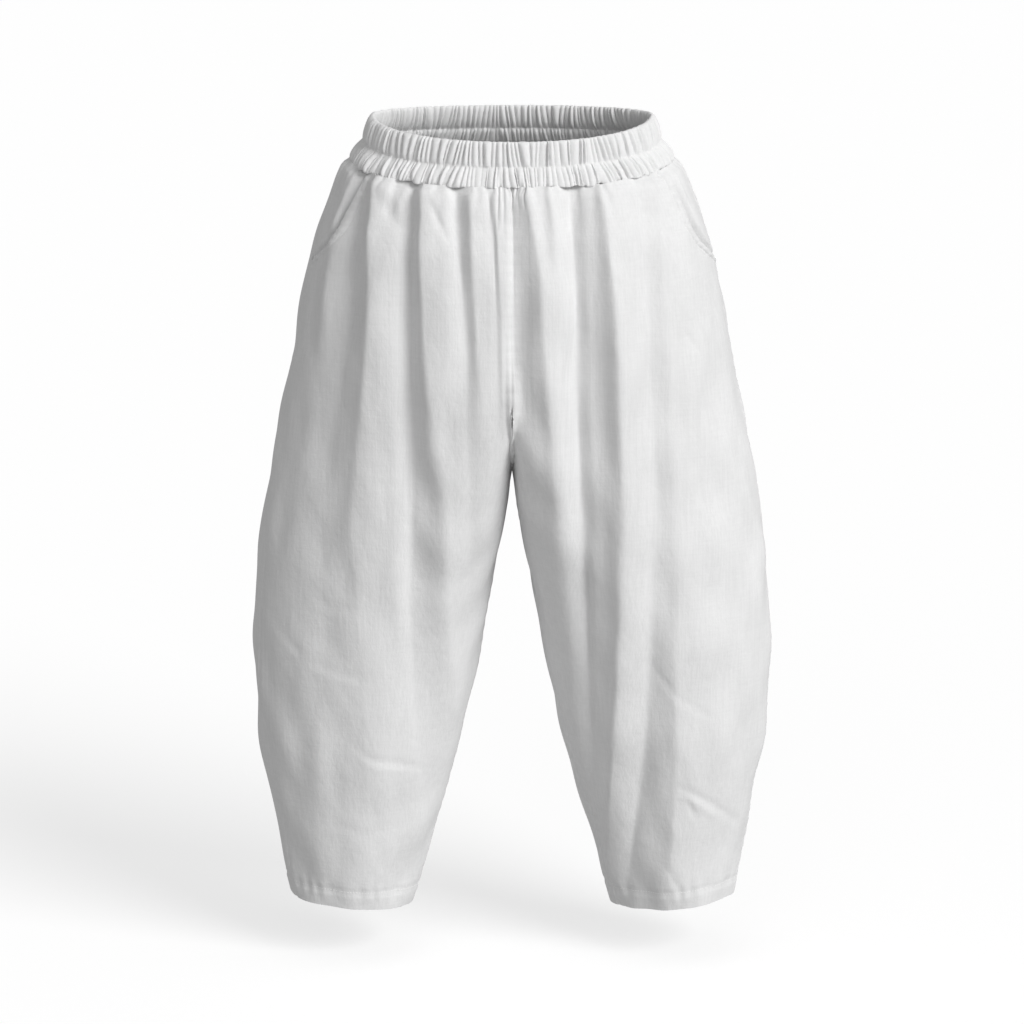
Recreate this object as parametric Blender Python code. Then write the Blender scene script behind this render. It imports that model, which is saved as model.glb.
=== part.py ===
"""Baggy barrel-leg trousers in cotton-linen, filled out as if worn, with a gathered elastic waist.

Sizes are in metres. +Z is up, the front faces -Y, and the wearer's left side is +X.
The origin is the middle of the waistband, where the wearer holds the trousers up.
"""
import bpy
import numpy as np

# Cloth
WALL = 0.0015
HEM_WALL = 0.0030
SEAM_GAP = 0.0003
CLOTH_COLOR = (0.80, 0.80, 0.79, 1.0)
CLOTH_ROUGHNESS = 0.9

# Heights down the side of the body, from the origin
WAIST_SEAM = -0.021
SLIT_TOP = -0.270
CROTCH = -0.362
HEM = -0.845
FRONT_DROP = 0.020
FRONT_DROP_END = -0.220
HEM_SLANT = 0.012
HEM_SLANT_TOP = -0.760

# Horizontal sections of one half: how far the side, the inner leg, the front and the back reach
# from the middle of the body, and how square the inner corner of the leg is
SECTIONS = (
    # height, side, inner, front, back, corner
    (-0.021, 0.176, 0.000, 0.127, 0.127, 9.0),
    (-0.050, 0.191, 0.000, 0.137, 0.141, 9.0),
    (-0.100, 0.211, 0.000, 0.146, 0.154, 9.0),
    (-0.160, 0.2255, 0.000, 0.149, 0.161, 9.0),
    (-0.245, 0.2415, 0.000, 0.147, 0.158, 9.0),
    (-0.334, 0.260, 0.000, 0.136, 0.146, 8.0),
    (-0.400, 0.272, 0.005, 0.126, 0.133, 5.0),
    (-0.468, 0.2805, 0.018, 0.116, 0.123, 3.2),
    (-0.559, 0.286, 0.034, 0.105, 0.113, 2.5),
    (-0.650, 0.282, 0.053, 0.094, 0.103, 2.3),
    (-0.743, 0.267, 0.078, 0.079, 0.089, 2.2),
    (-0.845, 0.248, 0.111, 0.060, 0.065, 2.1),
)
SIDE_ROUNDNESS = 2.15
CORNER_REACH = 0.09
CORNER_SHARE = 0.18

# Waistband rings, from the rim down to the waist seam
BAND_RINGS = (
    # height, side, front, back, fine gather, puff, wall
    (0.0220, 0.1540, 0.1080, 0.1080, 0.0010, 0.0000, 0.0024),
    (0.0105, 0.1590, 0.1110, 0.1110, 0.0022, 0.0000, 0.0042),
    (-0.0030, 0.1610, 0.1130, 0.1130, 0.0008, 0.0000, 0.0024),
    (-0.0120, 0.1700, 0.1210, 0.1210, 0.0004, 0.0030, 0.0034),
    (-0.0210, 0.1760, 0.1270, 0.1270, 0.0000, 0.0016, 0.0024),
)
INNER_RINGS = (4, 2, 0)
FINE_GATHERS = 112
PUFFS = 56
STEPS_PER_GATHER = 4
GATHER_SHARPNESS = 0.6

# Soft folds. A ridge has a positive depth and a valley a negative one. x is where the fold
# lies at its top, half way down and at its foot. Lean makes one flank steeper than the other.
FOLDS = (
    # face, x top, x middle, x foot, top, foot, depth, width top, width foot, lean
    ("front", -0.141, -0.134, -0.131, -0.021, -0.640, 0.0060, 0.011, 0.026, 0.0),
    ("front", -0.160, -0.173, -0.172, -0.040, -0.520, -0.0100, 0.010, 0.024, 0.0),
    ("front", -0.112, -0.111, -0.118, -0.021, -0.420, -0.0085, 0.006, 0.014, -0.3),
    ("front", -0.101, -0.100, -0.098, -0.021, -0.560, 0.0070, 0.010, 0.022, 0.5),
    ("front", -0.075, -0.066, -0.052, -0.021, -0.260, -0.0050, 0.007, 0.012, 0.3),
    ("front", -0.050, -0.047, -0.040, -0.021, -0.330, 0.0045, 0.010, 0.020, 0.0),
    ("front", -0.028, -0.025, -0.020, -0.021, -0.210, -0.0035, 0.006, 0.009, 0.0),
    ("front", 0.017, 0.015, 0.017, -0.021, -0.320, -0.0055, 0.007, 0.013, 0.0),
    ("front", 0.034, 0.034, 0.036, -0.021, -0.260, 0.0035, 0.007, 0.013, 0.0),
    ("front", 0.055, 0.056, 0.060, -0.021, -0.420, 0.0050, 0.010, 0.022, 0.0),
    ("front", 0.076, 0.082, 0.090, -0.021, -0.640, -0.0095, 0.008, 0.016, -0.3),
    ("front", 0.092, 0.104, 0.118, -0.021, -0.600, 0.0070, 0.010, 0.022, 0.45),
    ("front", 0.124, 0.134, 0.139, -0.021, -0.200, -0.0050, 0.007, 0.013, 0.0),
    ("front", 0.160, 0.172, 0.176, -0.030, -0.420, -0.0050, 0.010, 0.024, 0.0),
    ("front", 0.158, 0.161, 0.160, -0.560, -0.730, -0.0060, 0.012, 0.012, 0.0),
    ("front", 0.146, 0.144, 0.141, -0.680, -0.800, -0.0045, 0.010, 0.010, 0.0),
    ("back", -0.150, -0.160, -0.165, -0.021, -0.520, -0.0080, 0.009, 0.022, 0.2),
    ("back", -0.126, -0.130, -0.135, -0.021, -0.440, 0.0060, 0.010, 0.022, 0.0),
    ("back", -0.098, -0.104, -0.116, -0.021, -0.600, -0.0085, 0.008, 0.018, -0.3),
    ("back", -0.070, -0.073, -0.080, -0.021, -0.380, 0.0060, 0.010, 0.022, 0.0),
    ("back", -0.042, -0.044, -0.050, -0.021, -0.270, -0.0055, 0.008, 0.013, 0.0),
    ("back", -0.020, -0.021, -0.024, -0.021, -0.180, 0.0035, 0.007, 0.010, 0.0),
    ("back", 0.024, 0.025, 0.028, -0.021, -0.240, -0.0050, 0.008, 0.012, 0.0),
    ("back", 0.050, 0.052, 0.058, -0.021, -0.350, 0.0055, 0.009, 0.020, 0.0),
    ("back", 0.079, 0.084, 0.094, -0.021, -0.560, -0.0090, 0.008, 0.018, 0.3),
    ("back", 0.106, 0.112, 0.122, -0.021, -0.420, 0.0060, 0.010, 0.022, 0.0),
    ("back", 0.134, 0.142, 0.150, -0.021, -0.300, -0.0060, 0.009, 0.016, 0.0),
    ("back", 0.156, 0.166, 0.170, -0.030, -0.500, 0.0050, 0.010, 0.022, 0.0),
)
FOLD_FADE_IN = 0.25
FOLD_FADE_OUT = 0.45
SIDE_CALM = 0.30
SEAM_CALM = 0.016
SEAM_SINK = 0.0007
SEAM_SINK_WIDTH = 0.0050
SEAM_SINK_FADE = 0.040

# Where the side seam and the inseam run, as cloth in front of the widest and the innermost line.
# The seams stand turned a little about the legs, so the two sides differ.
SEAM_PATHS = (
    # height, left side seam, left inseam, right side seam, right inseam
    (-0.021, 0.010, 0.000, 0.020, 0.000),
    (-0.362, 0.008, 0.000, 0.030, 0.000),
    (-0.500, 0.008, 0.024, 0.040, 0.002),
    (-0.700, 0.010, 0.034, 0.040, 0.004),
    (-0.845, 0.012, 0.030, 0.030, 0.006),
)

# The pocket edge: how much cloth is cut away from the front panel before the side seam
POCKET_EDGE = (
    # height, cut
    (-0.021, 0.050),
    (-0.050, 0.054),
    (-0.080, 0.054),
    (-0.102, 0.044),
    (-0.118, 0.026),
    (-0.135, 0.000),
)
FACING_UNDER = 0.024
FACING_FOOT = -0.150
FACING_EMERGES = 0.016
FACING_HELD_DOWN = 0.4
FACING_CLEARANCE = 0.0012
POCKET_GAPE = 0.0030

# Heights of the rows of the cloth mesh, at the side seam and at the centre seam or inseam
ROWS = (
    # side, inner
    (-0.021, -0.021),
    (-0.036, -0.036),
    (-0.056, -0.056),
    (-0.080, -0.080),
    (-0.102, -0.105),
    (-0.118, -0.130),
    (-0.135, -0.160),
    (-0.170, -0.200),
    (-0.210, -0.245),
    (-0.250, -0.290),
    (-0.290, -0.328),
    (-0.328, -0.352),
    (-0.362, -0.362),
    (-0.400, -0.392),
    (-0.450, -0.444),
    (-0.510, -0.507),
    (-0.575, -0.574),
    (-0.640, -0.640),
    (-0.700, -0.700),
    (-0.755, -0.755),
    (-0.800, -0.800),
    (-0.824, -0.824),
    (-0.8255, -0.8255),
    (-0.845, -0.845),
)
HEM_ROWS = 2
PANEL_COLUMNS = 22
FACING_COLUMNS = 8
CROWDED_FROM = 0.55
LEVEL_FROM = 0.70

SIDES = (("left", 1.0), ("right", -1.0))

# How finely the smooth surface is worked out, as shares of a half section, points and metres
SHARE_STEP = 0.004
HEIGHT_STEP = 0.001
RING_SAMPLES = 401


def eased(value):
    """0 below 0, 1 above 1 and smooth between."""
    value = np.clip(value, 0.0, 1.0)
    return value * value * (3.0 - 2.0 * value)


def column(table, index):
    return np.array([row[index] for row in table], float)


def curve_through(table, index, heights):
    """One column of a table of sections, read at any height along a smooth curve with no overshoot."""
    at = column(table, 0)[::-1]
    values = column(table, index)[::-1]
    slopes = np.diff(values) / np.diff(at)
    both = slopes[1:] + slopes[:-1]
    inner = np.where(
        slopes[1:] * slopes[:-1] > 0.0,
        2.0 * slopes[1:] * slopes[:-1] / np.where(both == 0.0, 1.0, both),
        0.0,
    )
    tangents = np.concatenate([slopes[:1], inner, slopes[-1:]])
    heights = np.clip(heights, at[0], at[-1])
    i = np.clip(np.searchsorted(at, heights) - 1, 0, len(at) - 2)
    width = at[i + 1] - at[i]
    t = (heights - at[i]) / width
    return (
        (1 + 2 * t) * (1 - t) ** 2 * values[i]
        + t * (1 - t) ** 2 * width * tangents[i]
        + t * t * (3 - 2 * t) * values[i + 1]
        + t * t * (t - 1) * width * tangents[i + 1]
    )


class HalfBody:
    """The smooth surface of one half, before folds, for the wearer's left.

    A place on it is a share and a height. The share runs from 0 at the centre front seam or
    inseam to 1 at the widest line of the side and 2 at the centre back seam or inseam.
    """

    SAMPLES = 160
    LEVELS = 300
    CROTCH_LEVELS = 80

    def __init__(self):
        near_crotch = CROTCH + (SLIT_TOP - CROTCH) * np.linspace(0.0, 1.0, self.CROTCH_LEVELS) ** 2
        self.heights = np.unique(np.concatenate([np.linspace(HEM, WAIST_SEAM, self.LEVELS), near_crotch]))
        across = 0.5 * (1.0 - np.cos(np.pi * np.linspace(0.0, 1.0, 2 * self.SAMPLES + 1)))[None, :]
        side = curve_through(SECTIONS, 1, self.heights)[:, None]
        inner = np.maximum(curve_through(SECTIONS, 2, self.heights)[:, None], SEAM_GAP / 2)
        front = curve_through(SECTIONS, 3, self.heights)[:, None]
        back = curve_through(SECTIONS, 4, self.heights)[:, None]
        corner = curve_through(SECTIONS, 5, self.heights)[:, None]
        fall = np.clip((SLIT_TOP - self.heights) / (SLIT_TOP - CROTCH), 0.0, 1.0)[:, None]
        open_body = np.sqrt(1.0 - fall * fall)
        outer_shape = (1.0 - across**SIDE_ROUNDNESS) ** (1.0 / SIDE_ROUNDNESS)
        inner_shape = (1.0 - (1.0 - across) ** corner) ** (1.0 / corner)
        shape = outer_shape * (open_body + (1.0 - open_body) * inner_shape)
        shape = shape / shape.max(axis=1, keepdims=True)
        x = inner + (side - inner) * across
        front_x, front_y, self.front_length, self.front_corner = self.spaced(x, -front * shape, across)
        back_x, back_y, self.back_length, self.back_corner = self.spaced(x, back * shape, across)
        self.x = np.hstack([front_x, back_x[:, -2::-1]])
        self.y = np.hstack([front_y, back_y[:, -2::-1]])

    def spaced(self, x, y, across):
        """The same curves with evenly spaced points on each side of the inner corner."""
        steps = np.hypot(np.diff(x, axis=1), np.diff(y, axis=1))
        travelled = np.hstack([np.zeros((len(x), 1)), np.cumsum(steps, axis=1)])
        length = travelled[:, -1]
        corner = np.array([np.interp(CORNER_REACH, across[0], row) for row in travelled])
        shares = np.linspace(0.0, 1.0, self.SAMPLES + 1)
        new_x = np.empty((len(x), len(shares)))
        new_y = np.empty_like(new_x)
        for row in range(len(x)):
            wanted = np.interp(shares, (0.0, CORNER_SHARE, 1.0), (0.0, corner[row], length[row]))
            new_x[row] = np.interp(wanted, travelled[row], x[row])
            new_y[row] = np.interp(wanted, travelled[row], y[row])
        return new_x, new_y, length, corner

    def share_before_side(self, height, cloth):
        """The share that lies this much cloth in front of the widest line."""
        length = np.interp(height, self.heights, self.front_length)
        corner = np.interp(height, self.heights, self.front_corner)
        return 1.0 - (1.0 - CORNER_SHARE) * cloth / (length - corner)

    def share_after_inner(self, height, cloth):
        """The share that lies this much cloth in front of the innermost line."""
        return CORNER_SHARE * cloth / np.interp(height, self.heights, self.front_corner)

    def plan(self, share, height):
        """x and y on the smooth surface. Below the crotch a share past 2 goes on round the leg."""
        past_inner = np.where(height < CROTCH, share - 2.0, 2.0)
        share = np.where(share > 2.0, past_inner, np.maximum(share, 0.0))
        height = np.clip(height, HEM, WAIST_SEAM)
        row = np.clip(np.searchsorted(self.heights, height) - 1, 0, len(self.heights) - 2)
        down = (height - self.heights[row]) / (self.heights[row + 1] - self.heights[row])
        place = np.clip(share * self.SAMPLES, 0.0, 2 * self.SAMPLES - 1e-9)
        col = place.astype(int)
        along = place - col
        found = []
        for table in (self.x, self.y):
            low = table[row, col] * (1 - along) + table[row, col + 1] * along
            high = table[row + 1, col] * (1 - along) + table[row + 1, col + 1] * along
            found.append(low * (1 - down) + high * down)
        return found


BODY = HalfBody()


def front_drop(height, y):
    """The waist dips in front."""
    forward = np.clip(-y / SECTIONS[0][3], 0.0, 1.0)
    fade = eased((height - FRONT_DROP_END) / (WAIST_SEAM - FRONT_DROP_END))
    return FRONT_DROP * forward**1.5 * fade


def hem_drop(height, x):
    """The hem is a little lower at the inseam."""
    side = curve_through(SECTIONS, 1, height)
    inner = curve_through(SECTIONS, 2, height)
    inward = np.clip((side - x) / (side - inner), 0.0, 1.0)
    return HEM_SLANT * inward * eased((HEM_SLANT_TOP - height) / (HEM_SLANT_TOP - HEM))


def fold_relief(x, y, height, folds):
    """How far the folds of a table lift or sink the cloth at a place."""
    relief = np.zeros_like(x)
    front = curve_through(SECTIONS, 3, height)
    back = curve_through(SECTIONS, 4, height)
    inner = curve_through(SECTIONS, 2, height)
    facing = {
        "front": eased(-y / (SIDE_CALM * front)),
        "back": eased(y / (SIDE_CALM * back)),
    }
    for face, x_top, x_middle, x_foot, top, foot, depth, width_top, width_foot, lean in folds:
        down = (top - height) / (top - foot)
        centre = (
            x_top * (1 - down) * (1 - 2 * down)
            + x_middle * 4 * down * (1 - down)
            + x_foot * down * (2 * down - 1)
        )
        width = width_top + (width_foot - width_top) * np.clip(down, 0.0, 1.0)
        offset = x - centre
        width = width * np.where(offset < 0.0, 1.0 - lean, 1.0 + lean)
        strength = eased((1.0 - down) / FOLD_FADE_OUT)
        if top < WAIST_SEAM:
            strength = strength * eased(down / FOLD_FADE_IN)
        relief += facing[face] * strength * depth * np.exp(-((offset / width) ** 2))
    from_seam = np.abs(x) - inner
    body_seam = eased((height - SLIT_TOP) / SEAM_SINK_FADE) * np.exp(-((from_seam / SEAM_SINK_WIDTH) ** 2))
    return relief * eased(from_seam / SEAM_CALM) - SEAM_SINK * body_seam


def outer(share, height, side):
    """A point of the outer face of the cloth, as an array of x, y and z."""
    x, y = BODY.plan(share, height)
    x_after, y_after = BODY.plan(share + SHARE_STEP, height)
    x_before, y_before = BODY.plan(share - SHARE_STEP, height)
    run = np.stack([x_after - x_before, y_after - y_before])
    run = run / np.maximum(np.hypot(run[0], run[1]), 1e-9)
    lift = fold_relief(side * x, y, height, FOLDS)
    return np.stack(
        [
            side * (x + lift * run[1]),
            y - lift * run[0],
            height - front_drop(height, y) - hem_drop(height, x),
        ],
        axis=-1,
    )


def outward(share, height, side):
    """The direction out of the cloth."""
    before = np.maximum(share - SHARE_STEP, 0.0)
    across = outer(share + SHARE_STEP, height, side) - outer(before, height, side)
    above = np.minimum(height + HEIGHT_STEP, WAIST_SEAM)
    below = np.maximum(height - HEIGHT_STEP, HEM)
    up = outer(share, above, side) - outer(share, below, side)
    normal = side * np.cross(across, up)
    return normal / np.linalg.norm(normal, axis=-1, keepdims=True)


def cloth_material():
    material = bpy.data.materials.new("cotton_linen")
    material.use_nodes = True
    shader = material.node_tree.nodes["Principled BSDF"]
    shader.inputs["Base Color"].default_value = CLOTH_COLOR
    shader.inputs["Roughness"].default_value = CLOTH_ROUGHNESS
    shader.inputs["Metallic"].default_value = 0.0
    return material


def add_object(name, points, faces, material):
    mesh = bpy.data.meshes.new(name)
    mesh.from_pydata([tuple(point) for point in points], [], faces)
    mesh.validate()
    mesh.materials.append(material)
    mesh.shade_smooth()
    mesh.set_sharp_from_angle(angle=np.radians(50.0))
    made = bpy.data.objects.new(name, mesh)
    bpy.context.scene.collection.objects.link(made)
    return made


def wall_faces(rows, columns, ring):
    """Triangles of a wall between an outer and an inner grid, for rows that run downwards.

    A ring joins its last column to its first, and has rims only above and below.
    """
    inner = rows * columns
    last = columns if ring else columns - 1
    faces = []

    def quad(a, b, c, d):
        faces.extend([(a, b, c), (a, c, d)])

    for row in range(rows - 1):
        for start in range(last):
            end = (start + 1) % columns
            a, b = row * columns + start, row * columns + end
            c, d = b + columns, a + columns
            quad(a, d, c, b)
            faces.extend([(inner + a, inner + c, inner + d), (inner + a, inner + b, inner + c)])
    for start in range(last):
        end = (start + 1) % columns
        foot = (rows - 1) * columns
        quad(start, end, inner + end, inner + start)
        quad(foot + end, foot + start, inner + foot + start, inner + foot + end)
    if not ring:
        for row in range(rows - 1):
            a, b = row * columns, (row + 1) * columns
            quad(b, a, inner + a, inner + b)
            quad(a + last, b + last, inner + b + last, inner + a + last)
    return faces


def add_wall(name, outside, inside, side, material, ring=False):
    rows, columns = outside.shape[:2]
    points = np.concatenate([outside.reshape(-1, 3), inside.reshape(-1, 3)])
    faces = wall_faces(rows, columns, ring)
    if side < 0.0:
        faces = [face[::-1] for face in faces]
    return add_object(name, points, faces, material)


def row_heights(shares):
    """Heights of the mesh points: rows follow the seat seam at the inner edge and are level outside."""
    at_side = column(ROWS, 0)[:, None]
    at_inner = column(ROWS, 1)[:, None]
    from_seam = np.minimum(shares, 2.0 - shares)
    toward_side = eased(from_seam / LEVEL_FROM)
    return at_inner + (at_side - at_inner) * toward_side


def seam_shares(name, heights):
    """Shares of the side seam and the inseam of one side."""
    first = 1 if name == "left" else 3
    side_seam = BODY.share_before_side(heights, curve_through(SEAM_PATHS, first, heights))
    inseam = BODY.share_after_inner(heights, curve_through(SEAM_PATHS, first + 1, heights))
    return side_seam, inseam


def gap_share(heights):
    """Half a seam's gap, as a share."""
    return BODY.share_before_side(heights, 0.0) - BODY.share_before_side(heights, SEAM_GAP / 2)


def pocket_cut(heights):
    """Cloth cut away from the front panel at the pocket, and none below it."""
    return np.where(heights > POCKET_EDGE[-1][0], curve_through(POCKET_EDGE, 1, heights), 0.0)


def pocket_share(name, heights):
    first = 1 if name == "left" else 3
    cloth = curve_through(SEAM_PATHS, first, heights) + pocket_cut(heights)
    return BODY.share_before_side(heights, cloth)


def panel_shares(start, end):
    """Evenly spaced shares between two lines, one value of each line for every row."""
    across = np.linspace(0.0, 1.0, PANEL_COLUMNS + 1)[None, :]
    return start[:, None] + (end - start)[:, None] * across


def panel(name, side, shares, material):
    heights = row_heights(shares)
    outside = outer(shares, heights, side)
    outside[0, :, 2] -= SEAM_GAP / 2
    walls = np.full(len(ROWS), WALL)
    walls[-HEM_ROWS:] = HEM_WALL
    inside = outside - walls[:, None, None] * outward(shares, heights, side)
    add_wall(name, outside, inside, side, material)


def front_panel(name, side, material):
    """The outer columns crowd together where the pocket edge cuts the panel."""
    side_seam, _ = seam_shares(name, column(ROWS, 0))
    _, inseam = seam_shares(name, column(ROWS, 1))
    gap = gap_share(column(ROWS, 0))
    shares = panel_shares(inseam + gap, side_seam - gap)
    edge = (pocket_share(name, column(ROWS, 0)) - gap)[:, None]
    crowding = (edge - CROWDED_FROM) / ((side_seam - gap)[:, None] - CROWDED_FROM)
    crowded = CROWDED_FROM + (shares - CROWDED_FROM) * crowding
    panel(f"front_{name}", side, np.where(shares > CROWDED_FROM, crowded, shares), material)


def back_panel(name, side, material):
    side_seam, _ = seam_shares(name, column(ROWS, 0))
    _, inseam = seam_shares(name, column(ROWS, 1))
    gap = gap_share(column(ROWS, 0))
    panel(f"back_{name}", side, panel_shares(side_seam + gap, 2.0 + inseam - gap), material)


def pocket_facing(name, side, material):
    """The cloth behind the pocket edge: under the front panel, then level with it at the side seam."""
    panel_rows = column(ROWS, 0)
    heights = np.append(panel_rows[panel_rows > FACING_FOOT], FACING_FOOT)[:, None]
    edge = pocket_share(name, heights)
    first = 1 if name == "left" else 3
    side_cloth = curve_through(SEAM_PATHS, first, heights)
    seam = BODY.share_before_side(heights, side_cloth + SEAM_GAP / 2)
    under = BODY.share_before_side(heights, side_cloth + pocket_cut(heights) + FACING_UNDER)
    shares = under + (seam - under) * np.linspace(0.0, 1.0, FACING_COLUMNS + 1)[None, :]
    heights = np.broadcast_to(heights, shares.shape)
    rise_run = 1.0 - BODY.share_before_side(heights, FACING_EMERGES)
    down = np.clip((WAIST_SEAM - heights) / (WAIST_SEAM - POCKET_EDGE[-1][0]), 0.0, 1.0)
    sunk = WALL + FACING_CLEARANCE + POCKET_GAPE * np.sin(np.pi * down) ** 2
    sunk = sunk * (1.0 - eased((shares - edge) / rise_run - FACING_HELD_DOWN))
    normal = outward(shares, heights, side)
    outside = outer(shares, heights, side) - sunk[..., None] * normal
    outside[0, :, 2] -= SEAM_GAP / 2
    inside = outside - WALL * normal
    add_wall(f"pocket_facing_{name}", outside, inside, side, material)


def gather_wave(turns, count, sharpness):
    """Round ridges with narrow valleys between them, between -1 and 1."""
    wave = np.abs(np.sin(np.pi * turns * count))
    return 2.0 * wave**sharpness - 1.0


def whole_ring(side, front, back, columns):
    """Evenly spaced plan points round the body, from the centre front past the left side, and
    the direction out of the ring at each."""
    across = 0.5 * (1.0 - np.cos(np.pi * np.linspace(0.0, 1.0, RING_SAMPLES)))
    shape = (1.0 - across**SIDE_ROUNDNESS) ** (1.0 / SIDE_ROUNDNESS)
    x = np.concatenate([side * across, side * across[-2::-1], -side * across[1:], -side * across[-2::-1]])
    y = np.concatenate([-front * shape, back * shape[-2::-1], back * shape[1:], -front * shape[-2::-1]])
    steps = np.hypot(np.diff(x), np.diff(y))
    travelled = np.concatenate([[0.0], np.cumsum(steps)])
    wanted = travelled[-1] * np.arange(columns) / columns
    x = np.interp(wanted, travelled, x)
    y = np.interp(wanted, travelled, y)
    run = np.stack([np.roll(x, -1) - np.roll(x, 1), np.roll(y, -1) - np.roll(y, 1)])
    run /= np.hypot(run[0], run[1])
    return x, y, np.stack([run[1], -run[0]])


def waistband(material):
    """The gathered casing: a closed ring with an outer face in two rows and a plainer inner face."""
    columns = FINE_GATHERS * STEPS_PER_GATHER
    turns = np.arange(columns) / columns
    fine = gather_wave(turns, FINE_GATHERS, GATHER_SHARPNESS)
    puffs = gather_wave(turns, PUFFS, GATHER_SHARPNESS)

    def ring_points(ring, inside):
        height, side, front, back, fine_depth, puff_depth, wall = ring
        x, y, direction = whole_ring(side, front, back, columns)
        reach = 0.5 * (fine * fine_depth + puffs * puff_depth)
        if inside:
            reach = -wall - 0.5 * reach
        drop = FRONT_DROP * np.clip(-y / front, 0.0, 1.0) ** 1.5
        return np.stack([x + reach * direction[0], y + reach * direction[1], height - drop], axis=-1)

    outside = np.array([ring_points(ring, False) for ring in BAND_RINGS])
    inside = np.array([ring_points(BAND_RINGS[index], True) for index in INNER_RINGS[::-1]])
    outside[-1, :, 2] += SEAM_GAP / 2
    inside[-1, :, 2] += SEAM_GAP / 2
    loops = np.concatenate([outside, inside[::-1]])
    count = len(loops)
    points = loops.reshape(-1, 3)
    faces = []
    for loop in range(count):
        for start in range(columns):
            end = (start + 1) % columns
            below = (loop + 1) % count
            a, b = loop * columns + start, loop * columns + end
            c, d = below * columns + end, below * columns + start
            faces.extend([(a, d, c), (a, c, b)])
    return add_object("waistband", points, faces, material)


def main():
    for old in list(bpy.data.objects):
        bpy.data.objects.remove(old, do_unlink=True)
    material = cloth_material()
    waistband(material)
    for name, side in SIDES:
        front_panel(name, side, material)
        back_panel(name, side, material)
        pocket_facing(name, side, material)


main()
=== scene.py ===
"""Looks of the baggy trousers: creased cloth, gathered waistband, stitches, light and camera."""

import bpy
import numpy as np
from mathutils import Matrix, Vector


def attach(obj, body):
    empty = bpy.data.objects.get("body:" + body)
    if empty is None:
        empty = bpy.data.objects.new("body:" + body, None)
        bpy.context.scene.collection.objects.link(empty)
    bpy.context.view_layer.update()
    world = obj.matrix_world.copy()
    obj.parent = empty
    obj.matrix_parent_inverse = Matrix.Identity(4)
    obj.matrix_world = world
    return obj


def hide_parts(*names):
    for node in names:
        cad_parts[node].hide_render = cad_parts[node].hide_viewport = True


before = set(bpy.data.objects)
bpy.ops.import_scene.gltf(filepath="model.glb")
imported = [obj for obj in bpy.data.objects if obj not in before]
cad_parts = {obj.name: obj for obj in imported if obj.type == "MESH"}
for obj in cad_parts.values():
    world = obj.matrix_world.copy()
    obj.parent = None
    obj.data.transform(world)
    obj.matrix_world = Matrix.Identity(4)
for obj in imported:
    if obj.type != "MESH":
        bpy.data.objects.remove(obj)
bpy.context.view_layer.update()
rng = np.random.default_rng(7)

# Sizes of the trousers, in metres, as in the solids
WAIST_SEAM = -0.021
SLIT_TOP = -0.270
CROTCH = -0.362
HEM = -0.845
HEM_LINE = -0.8255
FRONT_DROP = 0.020
FRONT_DROP_POWER = 1.2
FRONT_DROP_END = -0.220
HEM_SLANT = 0.012
HEM_SLANT_TOP = -0.760
SECTIONS = (
    # height, side, inner, front, back, corner
    (-0.021, 0.176, 0.000, 0.127, 0.127, 9.0),
    (-0.050, 0.191, 0.000, 0.137, 0.141, 9.0),
    (-0.100, 0.211, 0.000, 0.146, 0.154, 9.0),
    (-0.160, 0.2255, 0.000, 0.149, 0.161, 9.0),
    (-0.245, 0.2415, 0.000, 0.147, 0.158, 9.0),
    (-0.334, 0.260, 0.000, 0.136, 0.146, 8.0),
    (-0.400, 0.272, 0.005, 0.126, 0.133, 5.0),
    (-0.468, 0.2805, 0.018, 0.116, 0.123, 3.2),
    (-0.559, 0.286, 0.034, 0.105, 0.113, 2.5),
    (-0.650, 0.282, 0.053, 0.094, 0.103, 2.3),
    (-0.743, 0.267, 0.078, 0.079, 0.089, 2.2),
    (-0.845, 0.248, 0.111, 0.060, 0.065, 2.1),
)
SIDE_ROUNDNESS = 2.15
CORNER_REACH = 0.09
CORNER_SHARE = 0.18
SEAM_PATHS = (
    # height, left side seam, left inseam, right side seam, right inseam
    (-0.021, 0.010, 0.000, 0.020, 0.000),
    (-0.362, 0.008, 0.000, 0.030, 0.000),
    (-0.500, 0.008, 0.024, 0.040, 0.002),
    (-0.700, 0.010, 0.034, 0.040, 0.004),
    (-0.845, 0.012, 0.030, 0.030, 0.006),
)
POCKET_EDGE = (
    # height, cut
    (-0.021, 0.050),
    (-0.050, 0.054),
    (-0.080, 0.054),
    (-0.102, 0.044),
    (-0.118, 0.026),
    (-0.135, 0.000),
)
ROWS = (
    # side, inner
    (-0.021, -0.021),
    (-0.036, -0.036),
    (-0.056, -0.056),
    (-0.080, -0.080),
    (-0.102, -0.105),
    (-0.118, -0.130),
    (-0.135, -0.160),
    (-0.170, -0.200),
    (-0.210, -0.245),
    (-0.250, -0.290),
    (-0.290, -0.328),
    (-0.328, -0.352),
    (-0.362, -0.362),
    (-0.400, -0.392),
    (-0.450, -0.444),
    (-0.510, -0.507),
    (-0.575, -0.574),
    (-0.640, -0.640),
    (-0.700, -0.700),
    (-0.755, -0.755),
    (-0.800, -0.800),
    (-0.8255, -0.8255),
    (-0.845, -0.845),
)
LEVEL_FROM = 0.70
CROWDED_FROM = 0.55
FACING_UNDER = 0.024
FACING_FOOT = -0.150
FACING_EMERGES = 0.012

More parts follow.
